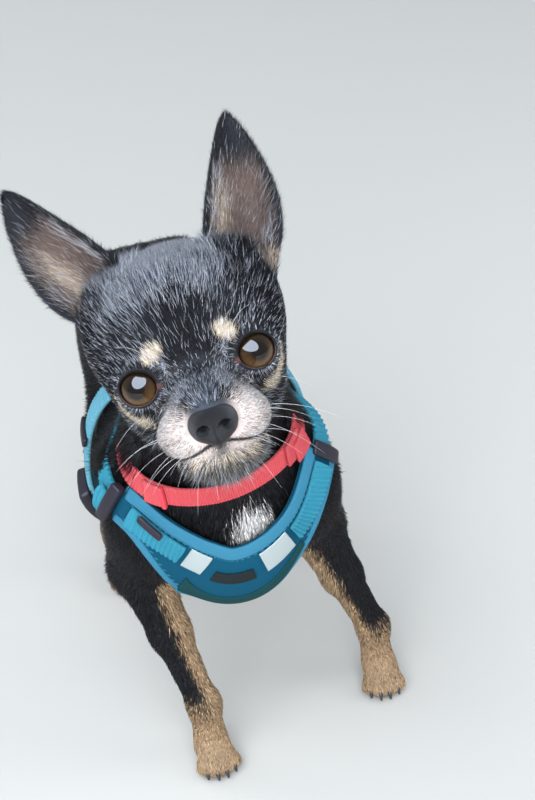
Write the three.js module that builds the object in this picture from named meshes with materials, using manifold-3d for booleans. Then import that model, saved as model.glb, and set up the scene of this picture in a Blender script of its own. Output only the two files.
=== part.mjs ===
// A smooth-coated chihuahua, standing, with its head turned up and tilted, in a collar and a chest harness
// Millimetres, +Z up. The dog faces -Y, so its own left side is +X. It stands on the floor at z = 0.

import * as THREE from 'three';
import { ParametricGeometry } from 'three/addons/geometries/ParametricGeometry.js';
import { mergeVertices } from 'three/addons/utils/BufferGeometryUtils.js';
import Module from 'manifold-3d';

const wasm = await Module();
wasm.setup();

// Driving dimensions of the body
const WITHERS = 199;
const RUMP_HEIGHT = 199;
const BRISKET = 100;
const CHEST_FRONT = -111;
const RUMP_BACK = 116;
const CHEST_HALF = 52;
const SHOULDER_HALF = 57;
const LOIN_HALF = 39;
const HIP_HALF = 41;
const NECK_RADIUS = 33;
const TAIL_BASE_RADIUS = 9;
const TAIL_TIP_RADIUS = 4.5;

// Driving dimensions of the head, in its own frame: the eye line is z = 0 and the muzzle points to -Y
const HEAD_AT = new THREE.Vector3(-6, -109, 251);
const HEAD_PITCH = THREE.MathUtils.degToRad(-26);
const HEAD_ROLL = THREE.MathUtils.degToRad(-8.6);
const HEAD_YAW = THREE.MathUtils.degToRad(-7);
const SKULL_HALF = 43;
const SKULL_TOP = 50;
const SKULL_BACK = 48;
const EYE_RADIUS = 9.8;
const EYE_SPREAD = 23.3;
const EYE_DEPTH = -21.5;
const EYE_TURN = THREE.MathUtils.degToRad(17);
const LID_THICKNESS = 1.3;
const EYE_OPENING_HALF_WIDTH = 9.3;
const EYE_OPENING_HALF_HEIGHT = 8.1;
const NOSE_TIP = -67;
const NOSE_HEIGHT = -17.5;
const NOSE_HALF = 9.4;
const EAR_LENGTH = 64;
const EAR_HALF = 18;
const EAR_THICKNESS = 2.4;

// Clearances
const GAP = 0.3;
const STRAP_LIFT = 0.8;

// Floor and the plane where a paw meets its leg
const FLOOR = 0;
const PASTERN = 21;

const vec = (x, y, z) => new THREE.Vector3(x, y, z);
const mix = THREE.MathUtils.lerp;
const smooth = THREE.MathUtils.smoothstep;

// Implicit forms: each is negative inside and about a distance outside

function ellipsoid(centre, radii, turn = new THREE.Euler()) {
  const toLocal = new THREE.Matrix4().makeRotationFromEuler(turn).setPosition(centre).invert();
  const local = new THREE.Vector3();
  return (p) => {
    local.copy(p).applyMatrix4(toLocal);
    const scaled = Math.hypot(local.x / radii.x, local.y / radii.y, local.z / radii.z);
    const slope = Math.hypot(local.x / radii.x ** 2, local.y / radii.y ** 2, local.z / radii.z ** 2);
    return slope < 1e-9 ? -Math.min(radii.x, radii.y, radii.z) : (scaled * (scaled - 1)) / slope;
  };
}

function taper(start, startRadius, end, endRadius) {
  const axis = end.clone().sub(start);
  const length2 = axis.lengthSq();
  const local = new THREE.Vector3();
  return (p) => {
    local.copy(p).sub(start);
    const along = THREE.MathUtils.clamp(local.dot(axis) / length2, 0, 1);
    local.addScaledVector(axis, -along);
    return local.length() - mix(startRadius, endRadius, along);
  };
}

function join(softness, ...forms) {
  return (p) => {
    let nearest = forms[0](p);
    for (let i = 1; i < forms.length; i += 1) {
      const next = forms[i](p);
      const mixed = Math.max(softness - Math.abs(nearest - next), 0) / softness;
      nearest = Math.min(nearest, next) - (mixed * mixed * softness) / 4;
    }
    return nearest;
  };
}

const pair = (make) => [make(1), make(-1)];

// Casting: a surface is found by walking a ray out of a form until its field reaches a level

function reach(field, origin, along, level, limit) {
  const stride = 1.5;
  const probe = new THREE.Vector3();
  const inside = (distance) => field(probe.copy(origin).addScaledVector(along, distance)) < level;
  let near = 0;
  let far = stride;
  while (far < limit && inside(far)) {
    near = far;
    far += stride;
  }
  if (far >= limit && inside(limit)) return limit;
  far = Math.min(far, limit);
  for (let halving = 0; halving < 16; halving += 1) {
    const middle = (near + far) / 2;
    if (inside(middle)) near = middle;
    else far = middle;
  }
  return (near + far) / 2;
}

function slope(field, p) {
  const h = 0.25;
  const probe = new THREE.Vector3();
  const side = (x, y, z) => field(probe.set(p.x + x, p.y + y, p.z + z));
  return vec(side(h, 0, 0) - side(-h, 0, 0), side(0, h, 0) - side(0, -h, 0), side(0, 0, h) - side(0, 0, -h))
    .normalize();
}

function settle(field, p, level) {
  const point = p.clone();
  for (let pass = 0; pass < 8; pass += 1) {
    point.addScaledVector(slope(field, point), level - field(point));
  }
  return point;
}

// Geometry from a function of (around, along), welded, with the slivers at its poles dropped

function weld(geometry) {
  geometry.deleteAttribute('normal');
  geometry.deleteAttribute('uv');
  const welded = mergeVertices(geometry, 1e-3);
  const kept = [];
  const index = welded.index.array;
  for (let i = 0; i < index.length; i += 3) {
    const [a, b, c] = [index[i], index[i + 1], index[i + 2]];
    if (a !== b && b !== c && c !== a) kept.push(a, b, c);
  }
  welded.setIndex(kept);
  return welded;
}

function toSolid(geometry) {
  const welded = geometry.index && !geometry.attributes.normal ? geometry : weld(geometry.clone());
  const mesh = new wasm.Mesh({
    numProp: 3,
    vertProperties: new Float32Array(welded.attributes.position.array),
    triVerts: new Uint32Array(welded.index.array),
  });
  return new wasm.Manifold(mesh);
}

function toGeometry(solid) {
  const mesh = solid.getMesh();
  const geometry = new THREE.BufferGeometry();
  geometry.setAttribute('position', new THREE.BufferAttribute(new Float32Array(mesh.vertProperties), 3));
  geometry.setIndex(Array.from(mesh.triVerts));
  return geometry;
}

function largest(solid) {
  const pieces = solid.decompose();
  pieces.sort((a, b) => b.volume() - a.volume());
  return pieces[0];
}

const cut = (solid, ...tools) => largest(tools.reduce((rest, tool) => rest.subtract(tool), solid));

const placed = (geometry, matrix) => toSolid(weld(geometry.clone()).applyMatrix4(matrix));

// A parametric surface as a solid, turned the right way out
function surface(place, slices, stacks) {
  const solid = toSolid(weld(new ParametricGeometry(place, slices, stacks)));
  if (solid.volume() > 0) return solid;
  return toSolid(weld(new ParametricGeometry((u, v, target) => place(1 - u, v, target), slices, stacks)));
}

// A closed surface around a line from one point to another, like a capsule that swells out to the field
function castAround(field, start, end, up, { slices, stacks, fan = 0.25, level = 0, limit = 200, sweep }) {
  const axis = end.clone().sub(start).normalize();
  const side = vec(0, 0, 0).crossVectors(up, axis).normalize();
  const over = vec(0, 0, 0).crossVectors(axis, side);
  const origin = new THREE.Vector3();
  const along = new THREE.Vector3();
  const place = (u, v, target) => {
    const turn = u * 2 * Math.PI;
    const ends = Math.min(v / fan, 1) + Math.max((v - 1 + fan) / fan, 0);
    const lean = sweep ? Math.PI * (1 - v) : (Math.PI / 2) * (2 - ends);
    const between = THREE.MathUtils.clamp((v - fan) / (1 - 2 * fan), 0, 1);
    const travel = sweep ? smooth(v, sweep.from, sweep.to) : between;
    origin.lerpVectors(start, end, travel);
    const spread = v === 0 || v === 1 ? 0 : Math.sin(lean);
    along.copy(axis).multiplyScalar(Math.cos(lean));
    along.addScaledVector(side, spread * Math.sin(turn)).addScaledVector(over, spread * Math.cos(turn));
    along.normalize();
    target.copy(origin).addScaledVector(along, reach(field, origin, along, level, limit));
  };
  return surface(place, slices, stacks);
}

// A closed tube along a curve whose rays stand square to it and stop at the field or at a limit
function castAlong(field, curve, up, { slices, stacks, level = 0, limit }) {
  const origin = new THREE.Vector3();
  const along = new THREE.Vector3();
  const place = (u, v, target) => {
    curve.getPoint(v, origin);
    const axis = curve.getTangent(v);
    const side = vec(0, 0, 0).crossVectors(up, axis).normalize();
    const over = vec(0, 0, 0).crossVectors(axis, side);
    const turn = u * 2 * Math.PI;
    along.copy(side).multiplyScalar(Math.sin(turn)).addScaledVector(over, Math.cos(turn));
    target.copy(origin).addScaledVector(along, reach(field, origin, along, level, limit(v) + level));
  };
  return capped(place, slices, stacks);
}

// A closed tube from any ring function: the first and last ring each close to their own middle
function capped(place, slices, stacks) {
  const ringMiddle = (v) => {
    const sum = new THREE.Vector3();
    const corner = new THREE.Vector3();
    for (let i = 0; i < slices; i += 1) {
      place(i / slices, v, corner);
      sum.add(corner);
    }
    return sum.divideScalar(slices);
  };
  const ends = [ringMiddle(0), ringMiddle(1)];
  const stretched = (u, v, target) => {
    const row = Math.round(v * (stacks + 2)) - 1;
    if (row < 0) target.copy(ends[0]);
    else if (row > stacks) target.copy(ends[1]);
    else place(u === 1 ? 0 : u, row / stacks, target);
  };
  return surface(stretched, slices, stacks + 2);
}

// A strap that lies on the field along a guide curve, with a width for each side of the guide
function strap(field, guide, { steps, lanes, upper, lower, lift = STRAP_LIFT, thickness, closed = false }) {
  const corners = 2 * (lanes + 1);
  const rows = [];
  for (let i = 0; i < steps + (closed ? 0 : 1); i += 1) {
    const t = i / steps;
    const rise = typeof lift === 'function' ? lift(t) : lift;
    const middle = settle(field, guide.getPoint(t), rise);
    const outward = slope(field, middle);
    const across = vec(0, 0, 0).crossVectors(outward, guide.getTangent(t)).normalize();
    const bottom = [];
    const top = [];
    for (let lane = 0; lane <= lanes; lane += 1) {
      const offset = mix(-lower(t), upper(t), lane / lanes);
      const foot = settle(field, middle.clone().addScaledVector(across, offset), rise);
      bottom.push(foot);
      top.push(foot.clone().addScaledVector(slope(field, foot), thickness));
    }
    rows.push([...bottom, ...top.reverse()]);
  }
  const place = (u, v, target) => {
    const row = rows[Math.round(v * steps) % rows.length];
    target.copy(row[Math.round(u * corners) % corners]);
  };
  return closed ? surface(place, corners, steps) : capped(place, corners, steps);
}

const evenly = (value) => () => value;

// The trunk: ribcage, breast, belly, loin, rump, with the masses of the shoulders and thighs

const chestTop = WITHERS;
const chestMiddle = (chestTop + BRISKET) / 2;
const shoulders = pair((side) => ellipsoid(vec(side * (SHOULDER_HALF - 19), -68, 146), vec(18, 27, 38),
  new THREE.Euler(0.25, 0, 0)));
const thighs = pair((side) => ellipsoid(vec(side * (HIP_HALF - 13), 76, 146), vec(15, 31, 30),
  new THREE.Euler(-0.2, 0, 0)));
const trunkField = join(16,
  ellipsoid(vec(0, -42, chestMiddle), vec(CHEST_HALF - 4, 58, (chestTop - BRISKET) / 2)),
  ellipsoid(vec(0, -74, chestMiddle - 3), vec(34, -CHEST_FRONT - 74, 46)),
  ...pair((side) => ellipsoid(vec(side * (CHEST_HALF - 24), -14, 148), vec(22, 34, 34))),
  ellipsoid(vec(0, 22, 154), vec(LOIN_HALF - 2, 58, 36)),
  ellipsoid(vec(0, 78, 162), vec(HIP_HALF - 5, RUMP_BACK - 80, RUMP_HEIGHT - 165)),
  taper(vec(0, -52, WITHERS - 19), 18, vec(0, 82, RUMP_HEIGHT - 23), 18),
  ...pair((side) => taper(
    vec(side * 20, 60, RUMP_HEIGHT - 17), 15,
    vec(side * 21, 86, RUMP_HEIGHT - 19), 15)),
  ...shoulders,
  ...thighs,
);

// The neck rises forward from the withers and breast into the back of the head
const neckBase = vec(0, -68, 166);
const neckTop = vec(-5, -98, 236);
const neckField = taper(neckBase, NECK_RADIUS + 7, neckTop, NECK_RADIUS - 3);

// Limbs: each has its joints from the trunk down, the radius there, and where its paw stands
const NECK_PART = 0.5;
const foreJoints = (side, paw) => [
  { at: vec(side * 37, -72, 150), radius: 19 },
  { at: vec(side * 43, -60, 112), radius: 15.5 },
  { at: vec(mix(side * 43, paw.x, 0.45), mix(-60, paw.y + 6, 0.45), 74), radius: 10.5 },
  { at: vec(paw.x, paw.y + 8, 32), radius: 8 },
  { at: vec(paw.x, paw.y + 6, 14), radius: 8.5 },
];
const hindJoints = (side, paw) => [
  { at: vec(side * 20, 78, 150), radius: 20 },
  { at: vec(side * 34, 54, 112), radius: 15.5 },
  { at: vec(mix(side * 36, paw.x, 0.6), 84, 80), radius: 10 },
  { at: vec(paw.x, paw.y + 24, 56), radius: 7.8 },
  { at: vec(paw.x, paw.y + 12, 26), radius: 7.2 },
  { at: vec(paw.x, paw.y + 8, 14), radius: 8.5 },
];
const limbs = [
  { name: 'foreleg_left', side: 1, paw: vec(68, -64, 0), toeIn: 0.16, part: 0.3, joints: foreJoints },
  { name: 'foreleg_right', side: -1, paw: vec(-27, -88, 0), toeIn: 0.05, part: 0.3, joints: foreJoints },
  { name: 'hindleg_left', side: 1, paw: vec(42, 70, 0), toeIn: 0.1, part: 0.35, joints: hindJoints },
  { name: 'hindleg_right', side: -1, paw: vec(-44, 68, 0), toeIn: 0.1, part: 0.35, joints: hindJoints },
];
const PAW = { half: 9.5, toes: 4, toeRadius: 5.2, toeReach: 11.5, outerToeBack: 5 };

// The paws: a pad body and a fan of toes that point forward
const CLAW = { root: 1.5, tip: 0.45 };
const inPaw = (limb, x, y, z) => {
  const turn = new THREE.Euler(0, 0, -limb.side * limb.toeIn);
  return vec(x, y, z).applyEuler(turn).add(limb.paw);
};
const toes = Array.from({ length: PAW.toes }, (_, i) => {
  const across = (i - (PAW.toes - 1) / 2) / (PAW.toes / 2);
  return { across, tip: PAW.outerToeBack * across * across - PAW.toeReach };
});
function pawField(limb) {
  const toeForms = toes.map(({ across, tip }) => taper(
    inPaw(limb, across * 6, -2, 7.5), PAW.toeRadius,
    inPaw(limb, across * 9.2, tip, 4.8), PAW.toeRadius - 0.4));
  return join(2.2, ellipsoid(inPaw(limb, 0, 3, 6.5), vec(PAW.half, 11, 8)), ...toeForms);
}

for (const limb of limbs) {
  const joints = limb.joints(limb.side, limb.paw);
  const bones = [];
  for (let i = 0; i + 1 < joints.length; i += 1) {
    bones.push(taper(joints[i].at, joints[i].radius, joints[i + 1].at, joints[i + 1].radius));
  }
  limb.points = joints.map((joint) => joint.at);
  limb.radii = joints.map((joint) => joint.radius);
  limb.field = join(5, join(7, ...bones), pawField(limb));
}

// The tail hangs from the croup and sweeps back at its end
const tailCurve = new THREE.CatmullRomCurve3([
  vec(0, 102, 180), vec(2, 120, 172), vec(5, 134, 150), vec(9, 140, 122), vec(13, 146, 98), vec(16, 156, 82),
]);
const TAIL_PIECES = 8;
const tailRadius = (t) => mix(TAIL_BASE_RADIUS, TAIL_TIP_RADIUS, t);
const tailBones = [];
for (let i = 0; i < TAIL_PIECES; i += 1) {
  const [from, to] = [i / TAIL_PIECES, (i + 1) / TAIL_PIECES];
  tailBones.push(taper(tailCurve.getPoint(from), tailRadius(from), tailCurve.getPoint(to), tailRadius(to)));
}
const tailField = join(3, ...tailBones);

const coreField = join(16, trunkField, neckField);
const bodyField = join(7, coreField, ...limbs.map((limb) => limb.field), tailField);

// The head, in its own frame

const headForm = join(11,
  join(11,
    ellipsoid(vec(0, 8, 13), vec(SKULL_HALF, SKULL_BACK - 8, SKULL_TOP - 13)),
    ellipsoid(vec(0, -14, 21), vec(30, 20, 23)),
    ...pair((side) => ellipsoid(vec(side * 19, 1, -6), vec(14.5, 26, 19),
      new THREE.Euler(0, 0, side * 0.25))),
    ellipsoid(vec(0, 4, -18), vec(28, 30, 20)),
    ...pair((side) => ellipsoid(vec(side * 30, 9, 26), vec(9, 13, 14))),
  ),
  join(6,
    taper(vec(0, -22, -15), 20, vec(0, -46, -16.5), 15.5),
    ellipsoid(vec(0, -44, -8.5), vec(11.5, 21, 9)),
    ...pair((side) => ellipsoid(vec(side * 10, -45, -20), vec(13.5, 16, 11.5),
      new THREE.Euler(0, 0, side * 0.3))),
  ),
  ...pair((side) => ellipsoid(vec(side * 16, -26, 12), vec(11, 8, 6))),
  ...pair((side) => ellipsoid(vec(side * 23.5, -12, -1), vec(8.5, 10, 10))),
);
const jawForm = join(6,
  taper(vec(0, -14, -28), 20, vec(0, -38, -31), 12),
  ellipsoid(vec(0, -41, -32.5), vec(19, 16, 7.5)),
);
const headField = join(2.5, headForm, jawForm);

const headMatrix = new THREE.Matrix4()
  .makeRotationFromEuler(new THREE.Euler(HEAD_PITCH, HEAD_ROLL, HEAD_YAW, 'ZXY'))
  .setPosition(HEAD_AT);

const headCast = (level) => castAround(headField, vec(0, 8, 6), vec(0, -36, -19), vec(0, 0, 1),
  { slices: 36, stacks: 34, level, limit: 90, sweep: { from: 0.4, to: 0.88 } });
const headOuter = headCast(0);
const headClear = headCast(GAP);
const headClearPlaced = placed(toGeometry(headClear), headMatrix);

const eyeCentre = (side) => vec(side * EYE_SPREAD, EYE_DEPTH, 0);
const gazeTurn = (side) => new THREE.Euler(0, 0, side * EYE_TURN);
const ball = (radius, centre, slices = 24, stacks = 16) => {
  const sphere = new THREE.SphereGeometry(radius, slices, stacks);
  return placed(sphere, new THREE.Matrix4().makeTranslation(centre.x, centre.y, centre.z));
};

// A tapered oval plug along the gaze opens the lids
function lidOpening(side) {
  const depth = 12;
  const plug = new THREE.CylinderGeometry(1.25, 0.75, depth, 18);
  plug.translate(0, depth / 2, 0);
  plug.scale(EYE_OPENING_HALF_WIDTH, 1, EYE_OPENING_HALF_HEIGHT);
  plug.rotateX(Math.PI);
  plug.translate(0, -EYE_RADIUS / 2, 0);
  const turned = new THREE.Matrix4().makeRotationFromEuler(gazeTurn(side)).setPosition(eyeCentre(side));
  return placed(plug, turned);
}

// A thin tube laid on the face, used to cut the line of the mouth and the groove under the nose
function faceTube(curve, radius, steps) {
  const sides = 5;
  const place = (u, v, target) => {
    const middle = settle(headField, curve.getPoint(v), 0);
    const outward = slope(headField, middle);
    const across = vec(0, 0, 0).crossVectors(outward, curve.getTangent(v)).normalize();
    const turn = u * 2 * Math.PI;
    target.copy(middle).addScaledVector(outward, radius * Math.cos(turn));
    target.addScaledVector(across, radius * Math.sin(turn));
  };
  return capped(place, sides, steps);
}

const mouthCurve = new THREE.CatmullRomCurve3([
  vec(-21, -27, -25), vec(-20, -40, -28), vec(-13, -54, -29.5), vec(0, -61, -27.5),
  vec(13, -54, -29.5), vec(20, -40, -28), vec(21, -27, -25),
]);
const philtrumCurve = new THREE.LineCurve3(vec(0, -64, -24), vec(0, -61, -28));

function makeHead() {
  let solid = headOuter;
  for (const side of [1, -1]) {
    solid = solid.add(ball(EYE_RADIUS + LID_THICKNESS, eyeCentre(side), 18, 12));
  }
  for (const side of [1, -1]) {
    solid = solid.subtract(ball(EYE_RADIUS + GAP, eyeCentre(side), 16, 12)).subtract(lidOpening(side));
  }
  solid = solid.subtract(faceTube(mouthCurve, 0.8, 20)).subtract(faceTube(philtrumCurve, 0.5, 3));
  return largest(solid);
}

// The nose pad, with a comma-shaped nostril on each side
function makeNose() {
  const noseField = join(3,
    ellipsoid(vec(0, NOSE_TIP + 8, NOSE_HEIGHT + 1.5), vec(NOSE_HALF, 8, 6.6)),
    ellipsoid(vec(0, NOSE_TIP + 7, NOSE_HEIGHT - 3), vec(NOSE_HALF - 3.4, 6.5, 6)),
    ...pair((side) => ellipsoid(vec(side * 5.4, NOSE_TIP + 7.5, NOSE_HEIGHT - 0.6), vec(4.2, 6.4, 5))),
  );
  const pad = castAround(noseField,
    vec(0, NOSE_TIP + 11, NOSE_HEIGHT), vec(0, NOSE_TIP + 6, NOSE_HEIGHT - 0.5), vec(0, 0, 1),
    { slices: 16, stacks: 10, fan: 0.42, limit: 20 });
  const nostril = (side) => placed(new THREE.SphereGeometry(1, 8, 6), new THREE.Matrix4().compose(
    vec(side * 4.6, NOSE_TIP + 2.4, NOSE_HEIGHT - 0.8),
    new THREE.Quaternion().setFromEuler(new THREE.Euler(0, side * 0.5, side * 0.5)), vec(2.5, 3.6, 2)));
  const slit = (side) => placed(new THREE.SphereGeometry(1, 6, 4), new THREE.Matrix4().compose(
    vec(side * 7.4, NOSE_TIP + 5.2, NOSE_HEIGHT - 2.2),
    new THREE.Quaternion().setFromEuler(new THREE.Euler(0, side * -0.6, side * 0.9)), vec(3, 1.6, 0.9)));
  return cut(pad, headClear, nostril(1), nostril(-1), slit(1), slit(-1));
}

// The ears: a cupped leaf that opens forward and rises out of the side of the skull
const earProfile = new THREE.SplineCurve([
  [-0.2, 0.78], [0, 0.88], [0.2, 1], [0.42, 0.93], [0.62, 0.74], [0.8, 0.5], [0.93, 0.27], [1, 0.07],
].map(([height, breadth]) => new THREE.Vector2(height, breadth)));
const EARS = {
  left: { side: 1, root: vec(32, 7, 33), lean: 0.2, back: 0.3, face: 0.3 },
  right: { side: -1, root: vec(-29, 7, 35), lean: 0.45, back: 0.3, face: 0.3 },
};

function makeEar({ side, root, lean, back, face }) {
  const set = new THREE.Euler(-back, side * lean, side * face, 'YXZ');
  const frame = new THREE.Matrix4().makeRotationFromEuler(set).setPosition(root);
  const place = (u, v, target) => {
    const { x: height, y: breadth } = earProfile.getPoint(v);
    const half = EAR_HALF * breadth;
    const wrap = mix(1.45, 0.75, smooth(height, -0.1, 0.75));
    const radius = half / Math.sin(wrap);
    const onBack = u < 0.5;
    const sweep = (onBack ? mix(-1, 1, u * 2) : mix(1, -1, u * 2 - 1)) * wrap;
    const edge = Math.abs(sweep / wrap);
    const wall = EAR_THICKNESS * mix(1, 0.65, height) * (1 - 0.45 * edge ** 3);
    const bend = radius - (onBack ? 0 : Math.min(wall, radius * 0.8));
    target.set(bend * Math.sin(sweep), bend * Math.cos(sweep) - radius * Math.cos(wrap), height * EAR_LENGTH);
    target.x += side * 3 * Math.sin(Math.PI * Math.max(height, 0));
    target.applyMatrix4(frame);
  };
  const leaf = capped(place, 22, 14);
  return cut(leaf, headClear);
}

// Trunk, neck, limbs, tail and paws

const trunkCast = (level) => castAround(trunkField, vec(0, -66, 148), vec(0, 76, 158), vec(0, 0, 1),
  { slices: 28, stacks: 26, fan: 0.24, level, limit: 140 });
const trunk = trunkCast(0);
const trunkClear = trunkCast(GAP);

// A large block that keeps what lies beyond a plane
function beyond(point, normal) {
  const size = 400;
  const block = new THREE.BoxGeometry(size, size, size).translate(0, 0, size / 2);
  const turn = new THREE.Quaternion().setFromUnitVectors(vec(0, 0, 1), normal.clone().normalize());
  return placed(block, new THREE.Matrix4().compose(point, turn, vec(1, 1, 1)));
}

// Parts a limb across a plane: the root stays on the trunk and the rest stands off it by the gap
function part(limbSolid, point, normal) {
  const half = normal.clone().normalize().multiplyScalar(GAP / 2);
  return {
    root: limbSolid.intersect(beyond(point.clone().sub(half), normal.clone().negate())),
    rest: limbSolid.intersect(beyond(point.clone().add(half), normal)),
  };
}

function makeNeck() {
  const curve = new THREE.LineCurve3(neckBase.clone().lerp(neckTop, -0.15), vec(-6, -104, 246));
  const tube = castAlong(coreField, curve, vec(0, -1, 0), {
    slices: 24, stacks: 9, limit: (v) => mix(NECK_RADIUS + 18, NECK_RADIUS + 2, v),
  });
  const axis = neckTop.clone().sub(neckBase);
  const { root, rest } = part(tube, neckBase.clone().lerp(neckTop, NECK_PART), axis);
  return { root, rest: cut(rest, headClearPlaced) };
}

function makeLeg(limb) {
  const [joint, next] = limb.points;
  const last = limb.points.at(-1);
  const rim = vec(last.x, last.y, PASTERN + GAP / 2);
  const path = new THREE.CatmullRomCurve3([...limb.points.slice(0, -1), rim], false, 'centripetal');
  const route = {
    getPoint: (v, target) => path.getPoint(v, target),
    getTangent: (v) => path.getTangent(v).lerp(vec(0, 0, -1), smooth(v, 0.85, 1)).normalize(),
  };
  const tube = castAlong(bodyField, route, vec(0, 1, 0.001), {
    slices: 14, stacks: 15, limit: (v) => mix(limb.radii[0] + 4, limb.radii[0] * 0.75, v),
  });
  const { root, rest } = part(tube, joint.clone().lerp(next, limb.part), next.clone().sub(joint));
  return { root, rest: cut(rest, trunkClear) };
}

function makeClaw(limb, across, tip) {
  const path = new THREE.CatmullRomCurve3([
    inPaw(limb, across * 9, tip - 1, 6.5),
    inPaw(limb, across * 9.6, tip - 5.6, 5.6),
    inPaw(limb, across * 10, tip - 8.2, 2.2),
  ]);
  const sideways = vec(1, 0, 0);
  const place = (u, v, target) => {
    const girth = mix(CLAW.root, CLAW.tip, v);
    const rise = vec(0, 0, 0).crossVectors(sideways, path.getTangent(v)).normalize();
    target.copy(path.getPoint(v)).addScaledVector(sideways, girth * Math.cos(u * 2 * Math.PI));
    target.addScaledVector(rise, girth * Math.sin(u * 2 * Math.PI));
  };
  return capped(place, 4, 2);
}

function makePaw(limb) {
  const sole = (p) => Math.max(limb.field(p), FLOOR - p.z, p.z - (PASTERN - GAP / 2));
  const heart = limb.paw.clone().add(vec(0, 3, 7));
  const ahead = limb.paw.clone().add(vec(0, -3, 7));
  let solid = castAround(sole, heart, ahead, vec(0, 0, 1), { slices: 18, stacks: 10, fan: 0.4, limit: 40 });
  for (const { across, tip } of toes) solid = solid.add(makeClaw(limb, across, tip));
  return largest(solid);
}

function makeTail() {
  const tube = castAlong(bodyField, tailCurve, vec(1, 0, 0), {
    slices: 10, stacks: 14, limit: (v) => tailRadius(v) + 4 * (1 - v),
  });
  const tip = tailCurve.getPoint(1);
  return cut(tube.add(ball(tailRadius(1) * 0.98, tip, 12, 8)), trunkClear);
}

// Collar and harness: straps that lie on the body
const wearField = join(7, coreField, ...limbs.map((limb) => limb.field));

// A closed guide round a centre, lifted at the nape where it rides over the withers
function hoop(centre, normal, radius, { nape = 0, points = 24 } = {}) {
  const side = vec(0, 0, 0).crossVectors(vec(0, 1, 0), normal).normalize();
  const rise = vec(0, 0, 0).crossVectors(normal, side);
  const ring = [];
  for (let i = 0; i < points; i += 1) {
    const turn = (i / points) * 2 * Math.PI;
    const point = centre.clone().addScaledVector(side, radius * Math.sin(turn));
    point.addScaledVector(rise, radius * Math.cos(turn)).z += nape * Math.max(Math.cos(turn), 0) ** 1.5;
    ring.push(point);
  }
  return new THREE.CatmullRomCurve3(ring, true);
}

// Part of a guide curve, from one fraction of it to another
const stretch = (curve, from, to) => ({
  getPoint: (t) => curve.getPoint(mix(from, to, t)),
  getTangent: (t) => curve.getTangent(mix(from, to, t)),
});

// A band of webbing, or a plate on it, over part of a guide curve
function band(curve, from, to, width, { lift = STRAP_LIFT, thickness, steps, lanes = 2 }) {
  return strap(wearField, stretch(curve, from, to), {
    steps, lanes, lift, thickness, upper: evenly(width / 2), lower: evenly(width / 2),
  });
}

function ring(curve, width, thickness, lift) {
  return strap(wearField, curve, {
    steps: 42, lanes: 2, thickness, lift, closed: true, upper: evenly(width / 2), lower: evenly(width / 2),
  });
}

// The collar is webbing with a side-release buckle on the left of the neck and a slide on the right
const COLLAR = { width: 11, thickness: 1.8, lift: 1.1, nape: 18, radius: 40 };
const collarCurve = hoop(vec(2, -92, 189), vec(-0.09, -0.13, 1).normalize(), COLLAR.radius,
  { nape: COLLAR.nape });
const onCollar = { lift: COLLAR.lift + COLLAR.thickness + GAP };
const collarPieces = () => ({
  collar: ring(collarCurve, COLLAR.width, COLLAR.thickness, COLLAR.lift),
  collar_buckle: band(collarCurve, 0.27, 0.35, 14, { ...onCollar, thickness: 4.2, steps: 5 }),
  collar_slide: band(collarCurve, 0.67, 0.72, 13, { ...onCollar, thickness: 2.4, steps: 4 }),
});

// The girth strap runs round the ribs behind the elbows. It is slack on the right side, where its buckle is
const GIRTH = {
  width: 15, thickness: 2.2, at: -12, radius: 54,
  slack: 7, slackAt: 0.84, slackSpread: 0.07, buckleFrom: 0.795, buckleTo: 0.88,
};
const girthSlack = (t) => GIRTH.slack * Math.exp(-(((t - GIRTH.slackAt) / GIRTH.slackSpread) ** 2));
const girthLift = (t) => STRAP_LIFT + girthSlack(t);
const girthCurve = hoop(vec(0, GIRTH.at, 150), vec(0, 1, 0.08).normalize(), GIRTH.radius);

// The harness loop runs from the withers round the breast and back, and the bib hangs from its front
const PLATE = {
  above: 13.5, below: 48, endAbove: 11, endBelow: 8, thickness: 3, middle: -6, turn: 0.27, lean: 0.95,
};
const WEB = { width: 10.5, thickness: 2.2 };
const PAD = { half: 11, thickness: 2.4, front: -42, back: -24.6 };
const loopLeft = [vec(PAD.half + 1, -36, 203), vec(33, -46, 193), vec(43, -65, 181), vec(38, -92, 166),
  vec(25, -109, 148)];
const loopRight = [vec(-PAD.half - 1, -36, 203), vec(-34, -45, 192), vec(-47, -63, 179), vec(-38, -92, 165),
  vec(-20, -110, 147)];
const loopKnots = [...loopRight, vec(PLATE.middle, -115, 139), ...loopLeft.reverse()];
const loopCurve = new THREE.CatmullRomCurve3(loopKnots, false, 'centripetal');
const gapTurn = GAP / loopCurve.getLength();
const bib = (t) => Math.sin(Math.PI * t ** PLATE.lean) ** 1.5;
const plateLower = (t) => mix(PLATE.endBelow, PLATE.below, bib(t) ** mix(1.8, 3, smooth(t, 0.4, 0.8)));
const makePlate = () => strap(wearField, stretch(loopCurve, PLATE.turn, 1 - PLATE.turn), {
  steps: 30, lanes: 5, thickness: PLATE.thickness, lower: plateLower,
  upper: (t) => mix(PLATE.endAbove, PLATE.above, bib(t)),
});

// What is sewn on the bib lies between two heights below the loop
const onPlate = STRAP_LIFT + PLATE.thickness + GAP;
function sewn(from, to, top, bottom, thickness) {
  return strap(wearField, stretch(loopCurve, from, to), {
    steps: 4, lanes: 2, lift: onPlate, thickness, upper: evenly(-top), lower: evenly(bottom),
  });
}

// The strap under the breastbone joins the tip of the bib to the girth strap
function makeSternumStrap() {
  const middle = settle(wearField, loopCurve.getPoint(0.5), STRAP_LIFT);
  const tip = settle(wearField, middle.clone().add(vec(0, 6, -plateLower(0.5))), STRAP_LIFT);
  const start = vec(PLATE.middle, tip.y + 6, tip.z - 6);
  const guide = new THREE.LineCurve3(start, vec(0, GIRTH.at - GIRTH.width / 2 - 1.4, BRISKET));
  return band(guide, 0, 1, 16, { thickness: 2.2, steps: 10 });
}

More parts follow.
